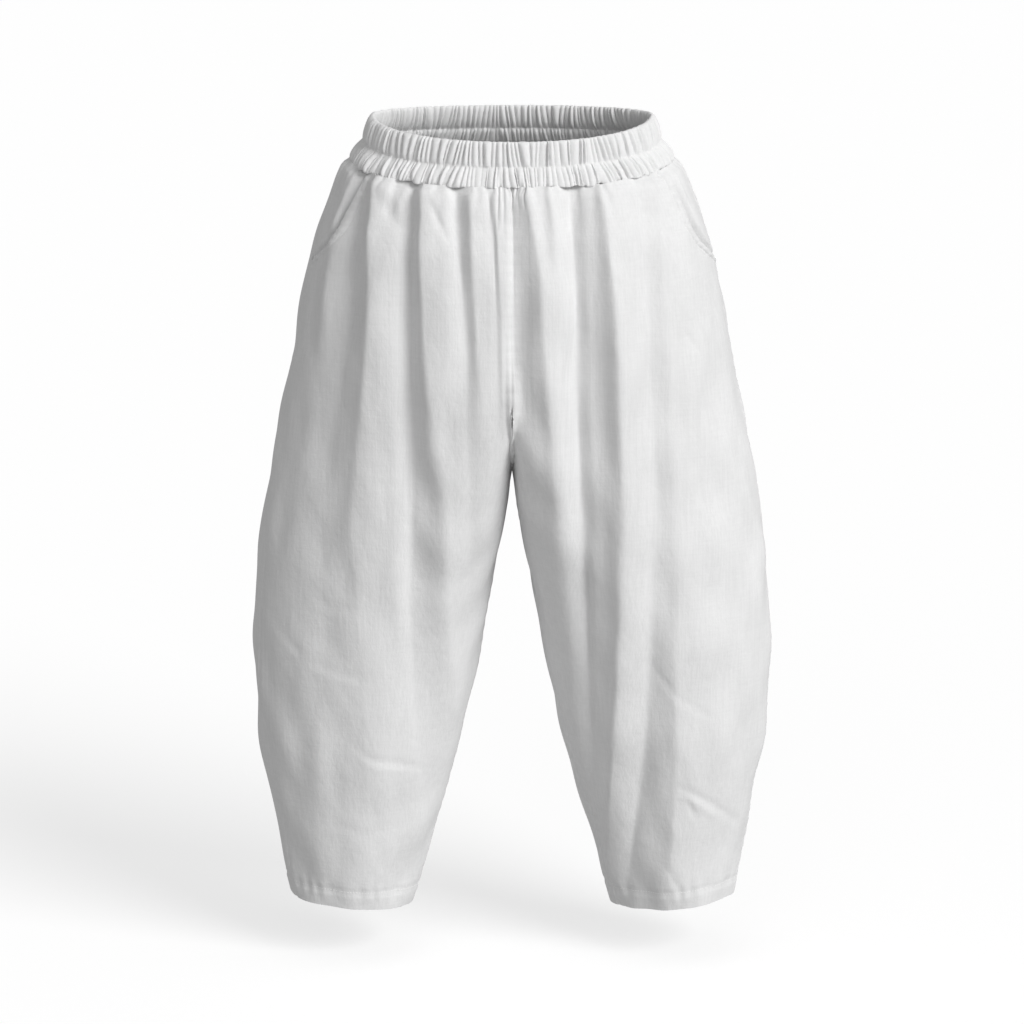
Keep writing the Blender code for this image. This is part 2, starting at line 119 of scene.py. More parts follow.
# Crests and valleys of the front, from the wearer's right to the left. The cloth runs from line to line
FRONT_LINES = (
    # each point: height, x, relief
    # side of the right leg, left smooth
    (
        (-0.037, -0.18, 0.0), (-0.092, -0.199, 0.0), (-0.135, -0.207, 0.0), (-0.31, -0.238, 0.0),
        (-0.49, -0.262, 0.0), (-0.67, -0.255, 0.0), (-0.845, -0.22, 0.0),
    ),
    # small crest by the right pocket
    (
        (-0.037, -0.171, 0.002), (-0.092, -0.19, 0.0036), (-0.138, -0.195, 0.004),
        (-0.18, -0.2, 0.0026), (-0.265, -0.214, 0.0), (-0.49, -0.23, 0.0), (-0.845, -0.21, 0.0),
    ),
    # valley outside the broad right crest
    (
        (-0.037, -0.159, -0.0056), (-0.092, -0.17, -0.008), (-0.138, -0.174, -0.008),
        (-0.178, -0.174, -0.007), (-0.265, -0.186, -0.0042), (-0.4, -0.208, -0.0016),
        (-0.58, -0.202, -0.0004), (-0.845, -0.19, 0.0),
    ),
    # broad crest of the right leg
    (
        (-0.037, -0.142, 0.0066), (-0.092, -0.148, 0.0084), (-0.178, -0.149, 0.0094),
        (-0.265, -0.157, 0.0092), (-0.35, -0.167, 0.007), (-0.4, -0.174, 0.0052),
        (-0.49, -0.166, 0.0036), (-0.58, -0.16, 0.003), (-0.76, -0.158, 0.0024),
        (-0.845, -0.155, 0.001),
    ),
    # slope inside it
    (
        (-0.037, -0.122, -0.001), (-0.092, -0.124, 0.001), (-0.178, -0.126, 0.0014),
        (-0.31, -0.128, 0.002), (-0.49, -0.128, 0.001), (-0.76, -0.128, 0.0008), (-0.845, -0.128, 0.0),
    ),
    # valley before the sharp right crest
    (
        (-0.037, -0.107, -0.0086), (-0.092, -0.11, -0.0105), (-0.178, -0.112, -0.0115),
        (-0.265, -0.111, -0.0105), (-0.31, -0.109, -0.0088), (-0.4, -0.108, -0.0074),
        (-0.49, -0.11, -0.0062), (-0.58, -0.106, -0.0048), (-0.67, -0.1, -0.0026), (-0.76, -0.09, 0.0),
    ),
    # sharp right crest
    (
        (-0.037, -0.094, 0.0072), (-0.092, -0.097, 0.0066), (-0.178, -0.096, 0.0062),
        (-0.265, -0.089, 0.007), (-0.31, -0.081, 0.0074), (-0.4, -0.072, 0.0068),
        (-0.49, -0.074, 0.0058), (-0.58, -0.066, 0.0044), (-0.67, -0.066, 0.0026), (-0.76, -0.07, 0.0),
    ),
    # slope inside it
    (
        (-0.037, -0.074, 0.0012), (-0.092, -0.074, 0.003), (-0.178, -0.07, 0.004),
        (-0.265, -0.066, 0.005), (-0.31, -0.062, 0.0056), (-0.4, -0.056, 0.0046),
        (-0.49, -0.055, 0.0036), (-0.67, -0.055, 0.0),
    ),
    # second valley
    (
        (-0.037, -0.062, -0.0064), (-0.092, -0.057, -0.0066), (-0.135, -0.054, -0.0054),
        (-0.178, -0.051, -0.0036), (-0.222, -0.048, -0.001), (-0.31, -0.046, 0.001),
        (-0.4, -0.044, 0.0), (-0.49, -0.046, 0.0),
    ),
    # second crest
    (
        (-0.037, -0.044, 0.0046), (-0.092, -0.043, 0.0044), (-0.178, -0.04, 0.004),
        (-0.222, -0.038, 0.0026), (-0.31, -0.031, 0.001), (-0.4, -0.03, 0.0006), (-0.49, -0.032, 0.0),
    ),
    # short valley by the centre
    (
        (-0.037, -0.0275, -0.0044), (-0.092, -0.02, -0.003), (-0.178, -0.016, -0.0016),
        (-0.31, -0.014, -0.0006), (-0.49, -0.018, 0.0),
    ),
    # short crest by the centre
    (
        (-0.037, -0.022, 0.0012), (-0.092, -0.0155, 0.0006), (-0.178, -0.011, -0.0006),
        (-0.31, -0.01, -0.0006), (-0.49, -0.012, 0.0),
    ),
    # just right of the centre seam
    (
        (-0.037, -0.006, 0.0002), (-0.092, -0.006, -0.001), (-0.178, -0.006, -0.0016),
        (-0.265, -0.0065, -0.003), (-0.31, -0.0065, -0.003), (-0.4, -0.006, 0.0),
    ),
    # valley at the centre seam
    (
        (-0.037, 0.0, -0.004), (-0.092, 0.001, -0.0062), (-0.178, 0.002, -0.007),
        (-0.265, 0.004, -0.0058), (-0.31, 0.006, -0.004), (-0.4, 0.014, -0.001), (-0.49, 0.018, 0.0),
    ),
    # crest left of the centre
    (
        (-0.037, 0.015, 0.0046), (-0.092, 0.023, 0.0062), (-0.135, 0.029, 0.0072),
        (-0.222, 0.034, 0.008), (-0.31, 0.041, 0.0078), (-0.4, 0.048, 0.0056), (-0.49, 0.055, 0.003),
        (-0.58, 0.061, 0.0014), (-0.76, 0.078, 0.0),
    ),
    # slope inside it
    (
        (-0.037, 0.028, -0.0026), (-0.092, 0.034, 0.002), (-0.135, 0.039, 0.0056),
        (-0.222, 0.044, 0.0064), (-0.31, 0.051, 0.0056), (-0.49, 0.062, 0.0014),
        (-0.58, 0.066, 0.0004), (-0.76, 0.083, 0.0),
    ),
    # small crest beside it
    (
        (-0.037, 0.038, 0.004), (-0.092, 0.044, 0.004), (-0.135, 0.047, 0.003), (-0.222, 0.052, 0.001),
        (-0.31, 0.057, -0.001), (-0.49, 0.067, -0.0024), (-0.58, 0.071, -0.002), (-0.76, 0.087, 0.0),
    ),
    # deep left valley
    (
        (-0.037, 0.06, -0.01), (-0.092, 0.065, -0.0135), (-0.178, 0.069, -0.0158),
        (-0.265, 0.07, -0.016), (-0.4, 0.073, -0.0142), (-0.49, 0.076, -0.0118),
        (-0.58, 0.079, -0.0084), (-0.67, 0.086, -0.0046), (-0.76, 0.093, -0.0016),
        (-0.845, 0.099, 0.0),
    ),
    # first step up from it
    (
        (-0.037, 0.071, -0.004), (-0.092, 0.077, -0.005), (-0.178, 0.081, -0.0058),
        (-0.265, 0.083, -0.006), (-0.4, 0.085, -0.0052), (-0.49, 0.087, -0.0044),
        (-0.58, 0.09, -0.003), (-0.76, 0.098, -0.0006), (-0.845, 0.101, 0.0),
    ),
    # second step up
    (
        (-0.037, 0.079, -0.003), (-0.092, 0.087, -0.0012), (-0.178, 0.094, -0.001),
        (-0.265, 0.098, -0.0008), (-0.4, 0.101, -0.0008), (-0.49, 0.102, -0.0006), (-0.58, 0.102, 0.0),
        (-0.76, 0.102, 0.0008), (-0.845, 0.104, 0.0006),
    ),
    # sharp left crest
    (
        (-0.037, 0.089, 0.008), (-0.092, 0.096, 0.011), (-0.135, 0.1, 0.0122), (-0.178, 0.104, 0.0128),
        (-0.222, 0.107, 0.0132), (-0.31, 0.111, 0.013), (-0.4, 0.113, 0.0118), (-0.49, 0.114, 0.0102),
        (-0.58, 0.114, 0.0084), (-0.67, 0.11, 0.0064), (-0.76, 0.107, 0.0044), (-0.845, 0.106, 0.002),
    ),
    # shallow left valley
    (
        (-0.037, 0.129, -0.0024), (-0.092, 0.137, -0.003), (-0.178, 0.144, -0.0036),
        (-0.31, 0.15, -0.0032), (-0.4, 0.151, -0.0034), (-0.49, 0.15, -0.0042),
        (-0.58, 0.148, -0.0058), (-0.67, 0.143, -0.0072), (-0.76, 0.132, -0.007),
        (-0.845, 0.124, -0.0044),
    ),
    # low left crest
    (
        (-0.037, 0.148, 0.0022), (-0.092, 0.156, 0.0024), (-0.178, 0.162, 0.0024),
        (-0.31, 0.168, 0.0022), (-0.4, 0.172, 0.0022), (-0.49, 0.176, 0.0028), (-0.67, 0.178, 0.0046),
        (-0.76, 0.176, 0.0048), (-0.845, 0.172, 0.0028),
    ),
    # side of the left leg, left smooth
    (
        (-0.037, 0.18, 0.0), (-0.135, 0.207, 0.0), (-0.31, 0.238, 0.0), (-0.49, 0.262, 0.0),
        (-0.67, 0.255, 0.0), (-0.845, 0.22, 0.0),
    ),
)
LINE_POWER = 1.45
ROUNDING_STEPS = 2

# The folds of the back, a ridge with a positive depth and a valley with a negative one
FOLDS = (
    # x top, x middle, x foot, top, foot, depth, width top, width foot, lean
    (-0.150, -0.160, -0.165, -0.021, -0.520, -0.0080, 0.009, 0.022, 0.2),
    (-0.126, -0.130, -0.135, -0.021, -0.440, 0.0060, 0.010, 0.022, 0.0),
    (-0.098, -0.104, -0.116, -0.021, -0.600, -0.0085, 0.008, 0.018, -0.3),
    (-0.070, -0.073, -0.080, -0.021, -0.380, 0.0060, 0.010, 0.022, 0.0),
    (-0.042, -0.044, -0.050, -0.021, -0.270, -0.0055, 0.008, 0.013, 0.0),
    (-0.020, -0.021, -0.024, -0.021, -0.180, 0.0035, 0.007, 0.010, 0.0),
    (0.024, 0.025, 0.028, -0.021, -0.240, -0.0050, 0.008, 0.012, 0.0),
    (0.050, 0.052, 0.058, -0.021, -0.350, 0.0055, 0.009, 0.020, 0.0),
    (0.079, 0.084, 0.094, -0.021, -0.560, -0.0090, 0.008, 0.018, 0.3),
    (0.106, 0.112, 0.122, -0.021, -0.420, 0.0060, 0.010, 0.022, 0.0),
    (0.134, 0.142, 0.150, -0.021, -0.300, -0.0060, 0.009, 0.016, 0.0),
    (0.156, 0.166, 0.170, -0.030, -0.500, 0.0050, 0.010, 0.022, 0.0),
)
FOLD_FADE_IN = 0.25
FOLD_FADE_OUT = 0.45
SIDE_CALM = 0.30
SEAM_CALM = 0.014
CALM_ABOVE_SLIT = 0.060

# Small creases, as lines through points of x and z. A positive depth is a ridge
CREASES = (
    # face, points, depth, width
    (
        "front",
        ((-0.268, -0.505), (-0.251, -0.534), (-0.227, -0.56), (-0.191, -0.574), (-0.16, -0.577)),
        -0.0009,
        0.006,
    ),
    ("front", ((-0.262, -0.522), (-0.24, -0.552), (-0.205, -0.572), (-0.165, -0.586)), 0.0007, 0.006),
    ("front", ((-0.175, -0.654), (-0.156, -0.67), (-0.132, -0.675), (-0.095, -0.687)), -0.0009, 0.005),
    ("front", ((-0.17, -0.664), (-0.15, -0.681), (-0.115, -0.688)), 0.0006, 0.0045),
    ("front", ((-0.232, -0.47), (-0.196, -0.498), (-0.15, -0.505)), -0.0006, 0.005),
    ("front", ((-0.205, -0.745), (-0.16, -0.76), (-0.12, -0.752)), -0.0006, 0.005),
    ("front", ((-0.138, -0.04), (-0.126, -0.052), (-0.114, -0.066)), 0.0014, 0.0045),
    ("front", ((-0.142, -0.054), (-0.128, -0.068), (-0.118, -0.09)), -0.0012, 0.0045),
    ("front", ((-0.086, -0.052), (-0.078, -0.074), (-0.066, -0.098)), -0.0016, 0.0032),
    (
        "front",
        ((0.18, -0.703), (0.197, -0.711), (0.216, -0.724), (0.234, -0.74), (0.252, -0.757)),
        -0.0011,
        0.0042,
    ),
    ("front", ((0.186, -0.712), (0.206, -0.728), (0.222, -0.742)), 0.0008, 0.004),
    ("front", ((0.19, -0.718), (0.201, -0.742)), -0.001, 0.0035),
    ("front", ((0.17, -0.795), (0.184, -0.828)), -0.001, 0.0045),
    ("front", ((0.138, -0.285), (0.153, -0.308)), -0.0008, 0.0024),
    ("front", ((0.138, -0.405), (0.149, -0.428), (0.163, -0.455)), -0.0008, 0.0022),
    ("front", ((0.144, -0.408), (0.156, -0.43), (0.168, -0.452)), 0.0006, 0.0022),
    ("front", ((0.183, -0.198), (0.198, -0.222)), -0.0008, 0.003),
    ("front", ((0.229, -0.345), (0.254, -0.37)), -0.001, 0.0036),
    ("front", ((0.216, -0.3), (0.236, -0.322), (0.25, -0.35)), 0.0008, 0.004),
    ("front", ((0.102, -0.214), (0.107, -0.238)), -0.0008, 0.003),
    ("front", ((0.15, -0.56), (0.176, -0.596), (0.212, -0.622)), -0.0007, 0.004),
    ("back", ((-0.24, -0.52), (-0.205, -0.55), (-0.16, -0.562)), -0.0012, 0.006),
    ("back", ((-0.232, -0.6), (-0.19, -0.632), (-0.14, -0.64)), -0.001, 0.0055),
    ("back", ((-0.226, -0.612), (-0.19, -0.645), (-0.15, -0.655)), 0.0008, 0.0055),
    ("back", ((0.235, -0.56), (0.2, -0.59), (0.15, -0.6)), -0.0012, 0.006),
    ("back", ((0.222, -0.66), (0.19, -0.68), (0.14, -0.684)), -0.001, 0.005),
    ("back", ((0.06, -0.33), (0.1, -0.352), (0.15, -0.35)), -0.0014, 0.007),
    ("back", ((-0.05, -0.335), (-0.09, -0.36), (-0.135, -0.362)), -0.0014, 0.007),
    ("back", ((0.13, -0.45), (0.16, -0.48), (0.2, -0.492)), -0.001, 0.0055),
    ("back", ((-0.12, -0.44), (-0.15, -0.47)), -0.001, 0.005),
)

# Grids of the cloth
CLOTH = 0.0010
HEM_CLOTH = 0.0026
ROW_STEP = 0.0036
PANEL_COLUMNS = 176
FACING_COLUMNS = 44
SIDES = (("left", 1.0), ("right", -1.0))
SHARE_STEP = 0.004
SHARP_FROM = 60.0

# Small features of the cloth
SEAM_GROOVE = 0.0009
SEAM_GROOVE_WIDTH = 0.0022
SEAM_PUCKER = 0.00035
SEAM_PUCKER_REACH = 0.0080
SEAM_PUCKER_LENGTH = 0.014
WAIST_ROUND = 0.98
GATHER_COUNT = 96
GATHER_DEPTH = (0.0005, 0.0028)
GATHER_WIDTH = (0.0022, 0.0044)
GATHER_LENGTH = (0.012, 0.070)
GATHER_SPREAD = 8.0
HEAD_PUFF = 0.0030
HEAD_RISE = 0.011
HEAD_END = 0.045
HEAD_TUCK = 0.0022
WAVE_COUNT = 60
WAVE_HEIGHT = 0.00085
POCKET_STITCH = 0.0110
POCKET_GROOVE = 0.0010
POCKET_GROOVE_WIDTH = 0.0013
POCKET_RISE = 0.0017
POCKET_PUCKER = 0.0009
POCKET_PUCKER_LENGTH = 0.0085
HEM_PUCKER = 0.00055
HEM_PUCKER_REACH = 0.009
HEM_GROOVE = 0.0008
HEM_GROOVE_WIDTH = 0.0018
HEM_RISE = 0.0005
HEM_RISE_RUN = 0.004
CROTCH_SOFT_HEIGHT = 0.060
CROTCH_SOFT_FROM = 0.012
CROTCH_SOFT_STEPS = 160
CENTRE_SEEDS = {"front": 1.0, "back": 2.0}
SIDE_SEEDS = {1.0: 3.0, -1.0: 4.0}
INSEAM_SEEDS = {1.0: 5.0, -1.0: 6.0}
POCKET_GAPE = 0.0060


def eased(value):
    """0 below 0, 1 above 1 and smooth between."""
    value = np.clip(value, 0.0, 1.0)
    return value * value * (3.0 - 2.0 * value)


def bell(value):
    return np.exp(-value * value)


def column(table, index):
    return np.array([row[index] for row in table], float)


def curve_through(table, index, heights):
    """One column of a table of sections, read at any height along a smooth curve with no overshoot."""
    at = column(table, 0)[::-1]
    values = column(table, index)[::-1]
    slopes = np.diff(values) / np.diff(at)
    both = slopes[1:] + slopes[:-1]
    inner = np.where(
        slopes[1:] * slopes[:-1] > 0.0,
        2.0 * slopes[1:] * slopes[:-1] / np.where(both == 0.0, 1.0, both),
        0.0,
    )
    tangents = np.concatenate([slopes[:1], inner, slopes[-1:]])
    heights = np.clip(heights, at[0], at[-1])
    i = np.clip(np.searchsorted(at, heights) - 1, 0, len(at) - 2)
    width = at[i + 1] - at[i]
    t = (heights - at[i]) / width
    return (
        (1 + 2 * t) * (1 - t) ** 2 * values[i]
        + t * (1 - t) ** 2 * width * tangents[i]
        + t * t * (3 - 2 * t) * values[i + 1]
        + t * t * (t - 1) * width * tangents[i + 1]
    )


class HalfBody:
    """The smooth surface of one half, before folds, for the wearer's left.

    A place on it is a share and a height. The share runs from 0 at the centre front seam or
    inseam to 1 at the widest line of the side and 2 at the centre back seam or inseam.
    """

    SAMPLES = 240
    LEVELS = 300
    CROTCH_LEVELS = 80

    def __init__(self):
        near_crotch = CROTCH + (SLIT_TOP - CROTCH) * np.linspace(0.0, 1.0, self.CROTCH_LEVELS) ** 2
        self.heights = np.unique(np.concatenate([np.linspace(HEM, WAIST_SEAM, self.LEVELS), near_crotch]))
        across = 0.5 * (1.0 - np.cos(np.pi * np.linspace(0.0, 1.0, 2 * self.SAMPLES + 1)))[None, :]
        side = curve_through(SECTIONS, 1, self.heights)[:, None]
        inner = curve_through(SECTIONS, 2, self.heights)[:, None]
        front = curve_through(SECTIONS, 3, self.heights)[:, None]
        back = curve_through(SECTIONS, 4, self.heights)[:, None]
        corner = curve_through(SECTIONS, 5, self.heights)[:, None]
        fall = np.clip((SLIT_TOP - self.heights) / (SLIT_TOP - CROTCH), 0.0, 1.0)[:, None]
        open_body = np.sqrt(1.0 - fall * fall)
        outer_shape = (1.0 - across**SIDE_ROUNDNESS) ** (1.0 / SIDE_ROUNDNESS)
        inner_shape = (1.0 - (1.0 - across) ** corner) ** (1.0 / corner)
        shape = outer_shape * (open_body + (1.0 - open_body) * inner_shape)
        shape = shape / shape.max(axis=1, keepdims=True)
        x = inner + (side - inner) * across
        front_x, front_y, self.front_length, self.front_corner = self.spaced(x, -front * shape, across)
        back_x, back_y, self.back_length, self.back_corner = self.spaced(x, back * shape, across)
        self.x = np.hstack([front_x, back_x[:, -2::-1]])
        self.y = np.hstack([front_y, back_y[:, -2::-1]])

    def spaced(self, x, y, across):
        """The same curves with evenly spaced points on each side of the inner corner."""
        steps = np.hypot(np.diff(x, axis=1), np.diff(y, axis=1))
        travelled = np.hstack([np.zeros((len(x), 1)), np.cumsum(steps, axis=1)])
        length = travelled[:, -1]
        corner = np.array([np.interp(CORNER_REACH, across[0], row) for row in travelled])
        shares = np.linspace(0.0, 1.0, self.SAMPLES + 1)
        new_x = np.empty((len(x), len(shares)))
        new_y = np.empty_like(new_x)
        for row in range(len(x)):
            wanted = np.interp(shares, (0.0, CORNER_SHARE, 1.0), (0.0, corner[row], length[row]))
            new_x[row] = np.interp(wanted, travelled[row], x[row])
            new_y[row] = np.interp(wanted, travelled[row], y[row])
        return new_x, new_y, length, corner

    def share_before_side(self, height, cloth):
        """The share that lies this much cloth in front of the widest line."""
        length = np.interp(height, self.heights, self.front_length)
        corner = np.interp(height, self.heights, self.front_corner)
        return 1.0 - (1.0 - CORNER_SHARE) * cloth / (length - corner)

    def share_after_inner(self, height, cloth):
        """The share that lies this much cloth in front of the innermost line."""
        return CORNER_SHARE * cloth / np.interp(height, self.heights, self.front_corner)

    def plan(self, share, height):
        """x and y on the smooth surface. Below the crotch a share past 2 goes on round the leg."""
        past_inner = np.where(height < CROTCH, share - 2.0, 2.0)
        share = np.where(share > 2.0, past_inner, np.maximum(share, 0.0))
        height = np.clip(height, HEM, WAIST_SEAM)
        row = np.clip(np.searchsorted(self.heights, height) - 1, 0, len(self.heights) - 2)
        down = (height - self.heights[row]) / (self.heights[row + 1] - self.heights[row])
        place = np.clip(share * self.SAMPLES, 0.0, 2 * self.SAMPLES - 1e-9)
        col = place.astype(int)
        along = place - col
        found = []
        for table in (self.x, self.y):
            low = table[row, col] * (1 - along) + table[row, col + 1] * along
            high = table[row + 1, col] * (1 - along) + table[row + 1, col + 1] * along
            found.append(low * (1 - down) + high * down)
        return found


BODY = HalfBody()


def front_drop(height, y):
    """The waist dips in front."""
    forward = np.clip(-y / SECTIONS[0][3], 0.0, 1.0)
    fade = eased((height - FRONT_DROP_END) / (WAIST_SEAM - FRONT_DROP_END))
    return FRONT_DROP * forward**FRONT_DROP_POWER * fade


def hem_drop(height, x):
    """The hem is a little lower at the inseam."""
    side = curve_through(SECTIONS, 1, height)
    inner = curve_through(SECTIONS, 2, height)
    inward = np.clip((side - x) / (side - inner), 0.0, 1.0)
    return HEM_SLANT * inward * eased((HEM_SLANT_TOP - height) / (HEM_SLANT_TOP - HEM))


def facing_shares(y, height):
    """How much of the front's and of the back's folds a place takes."""
    front = curve_through(SECTIONS, 3, height)
    back = curve_through(SECTIONS, 4, height)
    return {
        "front": eased(-y / (SIDE_CALM * front)),
        "back": eased(y / (SIDE_CALM * back)),
    }


def line_relief(x, z):
    """The front's relief. Each flank from one line to the next starts gently and ends steeply."""
    lines = [np.array(line)[::-1] for line in FRONT_LINES]
    places = [np.interp(z, line[:, 0], line[:, 1]) for line in lines]
    reliefs = [np.interp(z, line[:, 0], line[:, 2]) for line in lines]
    found = np.zeros_like(x)
    for i in range(len(lines) - 1):
        across = (x - places[i]) / np.maximum(places[i + 1] - places[i], 1e-4)
        step = np.clip(across, 0.0, 1.0) ** LINE_POWER
        between = reliefs[i] + (reliefs[i + 1] - reliefs[i]) * step
        found = np.where((across >= 0.0) & (across < 1.0), between, found)
    return found


def fold_relief(x, y, z, height):
    """How far the broad folds lift or sink the cloth."""
    facing = facing_shares(y, height)
    relief = facing["front"] * line_relief(x, z)
    for x_top, x_middle, x_foot, top, foot, depth, width_top, width_foot, lean in FOLDS:
        down = (top - height) / (top - foot)
        centre = (
            x_top * (1 - down) * (1 - 2 * down)
            + x_middle * 4 * down * (1 - down)
            + x_foot * down * (2 * down - 1)
        )
        width = width_top + (width_foot - width_top) * np.clip(down, 0.0, 1.0)
        offset = x - centre
        width = width * np.where(offset < 0.0, 1.0 - lean, 1.0 + lean)
        strength = eased((1.0 - down) / FOLD_FADE_OUT)
        if top < WAIST_SEAM:
            strength = strength * eased(down / FOLD_FADE_IN)
        relief += facing["back"] * strength * depth * bell(offset / width)
    from_seam = np.abs(x) - curve_through(SECTIONS, 2, height)
    calm = eased(from_seam / SEAM_CALM)
    near_crotch = eased((SLIT_TOP - height) / CALM_ABOVE_SLIT + 1.0)
    calm = np.where(y < 0.0, 1.0 - near_crotch * (1.0 - calm), calm)
    return relief * calm


def distance_to_line(x, z, points):
    """Distance to a bent line, and how far along it the nearest place is, from 0 to 1."""
    best = np.full(x.shape, np.inf)
    along = np.zeros_like(x)
    lengths = [np.hypot(b[0] - a[0], b[1] - a[1]) for a, b in zip(points, points[1:])]
    total = sum(lengths)
    passed = 0.0
    for (ax, az), (bx, bz), length in zip(points, points[1:], lengths):
        t = np.clip(((x - ax) * (bx - ax) + (z - az) * (bz - az)) / length**2, 0.0, 1.0)
        gap = np.hypot(x - ax - t * (bx - ax), z - az - t * (bz - az))
        nearer = gap < best
        best = np.where(nearer, gap, best)
        along = np.where(nearer, (passed + t * length) / total, along)
        passed += length
    return best, along


def crease_relief(x, y, z, height):
    """Small creases, strongest in the middle of their lines."""
    relief = np.zeros_like(x)
    facing = facing_shares(y, height)
    for face, points, depth, width in CREASES:
        gap, along = distance_to_line(x, z, points)
        strength = np.sqrt(np.clip(4.0 * along * (1.0 - along), 0.02, 1.0))
        relief += facing[face] * depth * strength * bell(gap / width)
    return relief


# Short gathers that run down from the waist seam, all round: place round the waist, depth, width, length
GATHERS = np.stack(
    [
        (np.arange(GATHER_COUNT) + rng.uniform(-0.42, 0.42, GATHER_COUNT)) / GATHER_COUNT,
        rng.uniform(*GATHER_DEPTH, GATHER_COUNT),
        rng.uniform(*GATHER_WIDTH, GATHER_COUNT),
        rng.uniform(*GATHER_LENGTH, GATHER_COUNT),
        rng.uniform(-0.10, 0.10, GATHER_COUNT),
    ],
    axis=1,
)

# Waves that leave the cloth uneven: waves per metre along X, Y and Z, phase and strength
WAVE_TURNS = rng.uniform(0.0, 2.0 * np.pi, WAVE_COUNT)
WAVE_RATES = rng.uniform(8.0, 30.0, WAVE_COUNT)
WAVES = np.stack(
    [
        WAVE_RATES * np.cos(WAVE_TURNS),
        WAVE_RATES * np.sin(WAVE_TURNS),
        rng.uniform(1.5, 11.0, WAVE_COUNT),
        rng.uniform(0.0, 2.0 * np.pi, WAVE_COUNT),
        rng.uniform(0.3, 1.0, WAVE_COUNT),
    ],
    axis=1,
)


def gather_relief(around, height):
    """around is the distance round the waist from the centre front, in metres."""
    relief = np.zeros_like(around)
    below = WAIST_SEAM - height
    for place, depth, width, length, slant in GATHERS:
        centre = (place - 0.5) * WAIST_ROUND + slant * below
        offset = (around - centre + WAIST_ROUND / 2) % WAIST_ROUND - WAIST_ROUND / 2
        widened = width * (1.0 + GATHER_SPREAD * below)
        relief -= depth * bell(offset / widened) * eased(1.0 - below / length)
    return relief


def head_relief(heights):
    """The cloth puffs out under the waist seam and tucks in at it."""
    under = WAIST_SEAM - heights
    risen = eased(under / HEAD_RISE)
    return HEAD_PUFF * risen * (1.0 - eased(under / HEAD_END)) - HEAD_TUCK * (1.0 - risen)


def wave_relief(points):
    relief = np.zeros(points.shape[:-1])
    for rate_x, rate_y, rate_z, phase, strength in WAVES:
        cycles = rate_x * points[..., 0] + rate_y * points[..., 1] + rate_z * points[..., 2]
        relief += strength * np.sin(2.0 * np.pi * cycles + phase)
    return WAVE_HEIGHT * relief * np.sqrt(2.0 / np.sum(WAVES[:, 4] ** 2))


def seam_relief(distance, heights, seed):
    """A sewn seam: a groove with short puckers on each side of it."""
    phase = -2.0 * np.pi * heights / SEAM_PUCKER_LENGTH + 2.2 * np.sin(seed - 31.0 * heights) + seed
    calm = eased(np.abs(heights - CROTCH) / 0.03)
    puckers = SEAM_PUCKER * calm * np.sin(phase) * bell(distance / SEAM_PUCKER_REACH)
    return puckers - SEAM_GROOVE * bell(distance / SEAM_GROOVE_WIDTH)


def smooth_place(share, height, side):
    """The surface with its folds and creases."""
    x, y = BODY.plan(share, height)
    x_after, y_after = BODY.plan(share + SHARE_STEP, height)
    x_before, y_before = BODY.plan(share - SHARE_STEP, height)
    run = np.stack([x_after - x_before, y_after - y_before])
    run = run / np.maximum(np.hypot(run[0], run[1]), 1e-9)
    direction = np.stack([side * run[1], -run[0], np.zeros_like(x)], axis=-1)
    z = height - front_drop(height, y) - hem_drop(height, x)
    lift = fold_relief(side * x, y, z, height)
    for _ in range(ROUNDING_STEPS):
        lift[:, 1:-1] += 0.25 * (lift[:, :-2] - 2.0 * lift[:, 1:-1] + lift[:, 2:])
        lift[1:-1] += 0.25 * (lift[:-2] - 2.0 * lift[1:-1] + lift[2:])
    lift += crease_relief(side * x, y, z, height)
    return np.stack([side * x, y, z], axis=-1) + lift[..., None] * direction


def grid_normals(points, side):
    """Directions out of a grid of cloth whose rows run down and whose columns run from front to back."""
    down = np.gradient(points, axis=0)
    across = np.gradient(points, axis=1)
    normal = side * np.cross(down, across)
    return normal / np.maximum(np.linalg.norm(normal, axis=-1, keepdims=True), 1e-12)


def soften_crotch(points, heights, from_edge):
    """Takes out the level kink where the legs part, away from the seams."""
    share = bell((heights - CROTCH) / CROTCH_SOFT_HEIGHT) * eased(from_edge / CROTCH_SOFT_FROM)
    for _ in range(CROTCH_SOFT_STEPS):
        bend = points[:-2] - 2.0 * points[1:-1] + points[2:]
        points[1:-1] += 0.45 * share[1:-1, :, None] * bend
    return points


def cloth_lengths(points):
    """Distance along each row from its first point."""
    steps = np.linalg.norm(np.diff(points, axis=1), axis=-1)
    return np.hstack([np.zeros((len(points), 1)), np.cumsum(steps, axis=1)])


def add_mesh(name, points, faces):
    mesh = bpy.data.meshes.new(name)
    mesh.from_pydata(np.asarray(points, float).tolist(), [], np.asarray(faces).tolist())
    mesh.update()
    mesh.shade_smooth()
    mesh.set_sharp_from_angle(angle=np.radians(SHARP_FROM))
    made = bpy.data.objects.new(name, mesh)
    bpy.context.scene.collection.objects.link(made)
    return made


def wall_quads(rows, columns):
    """Quads of a closed wall between an outer and an inner grid."""
    index = np.arange(rows * columns).reshape(rows, columns)
    a, b = index[:-1, :-1].ravel(), index[:-1, 1:].ravel()
    c, d = index[1:, 1:].ravel(), index[1:, :-1].ravel()
    inner = rows * columns
    faces = [np.stack([a, d, c, b], axis=1), np.stack([a, b, c, d], axis=1) + inner]
    for start, end in (
        (index[0, :-1], index[0, 1:]),
        (index[-1, 1:], index[-1, :-1]),
        (index[1:, 0], index[:-1, 0]),
        (index[:-1, -1], index[1:, -1]),
    ):
        faces.append(np.stack([start, end, end + inner, start + inner], axis=1))
    return np.concatenate(faces)


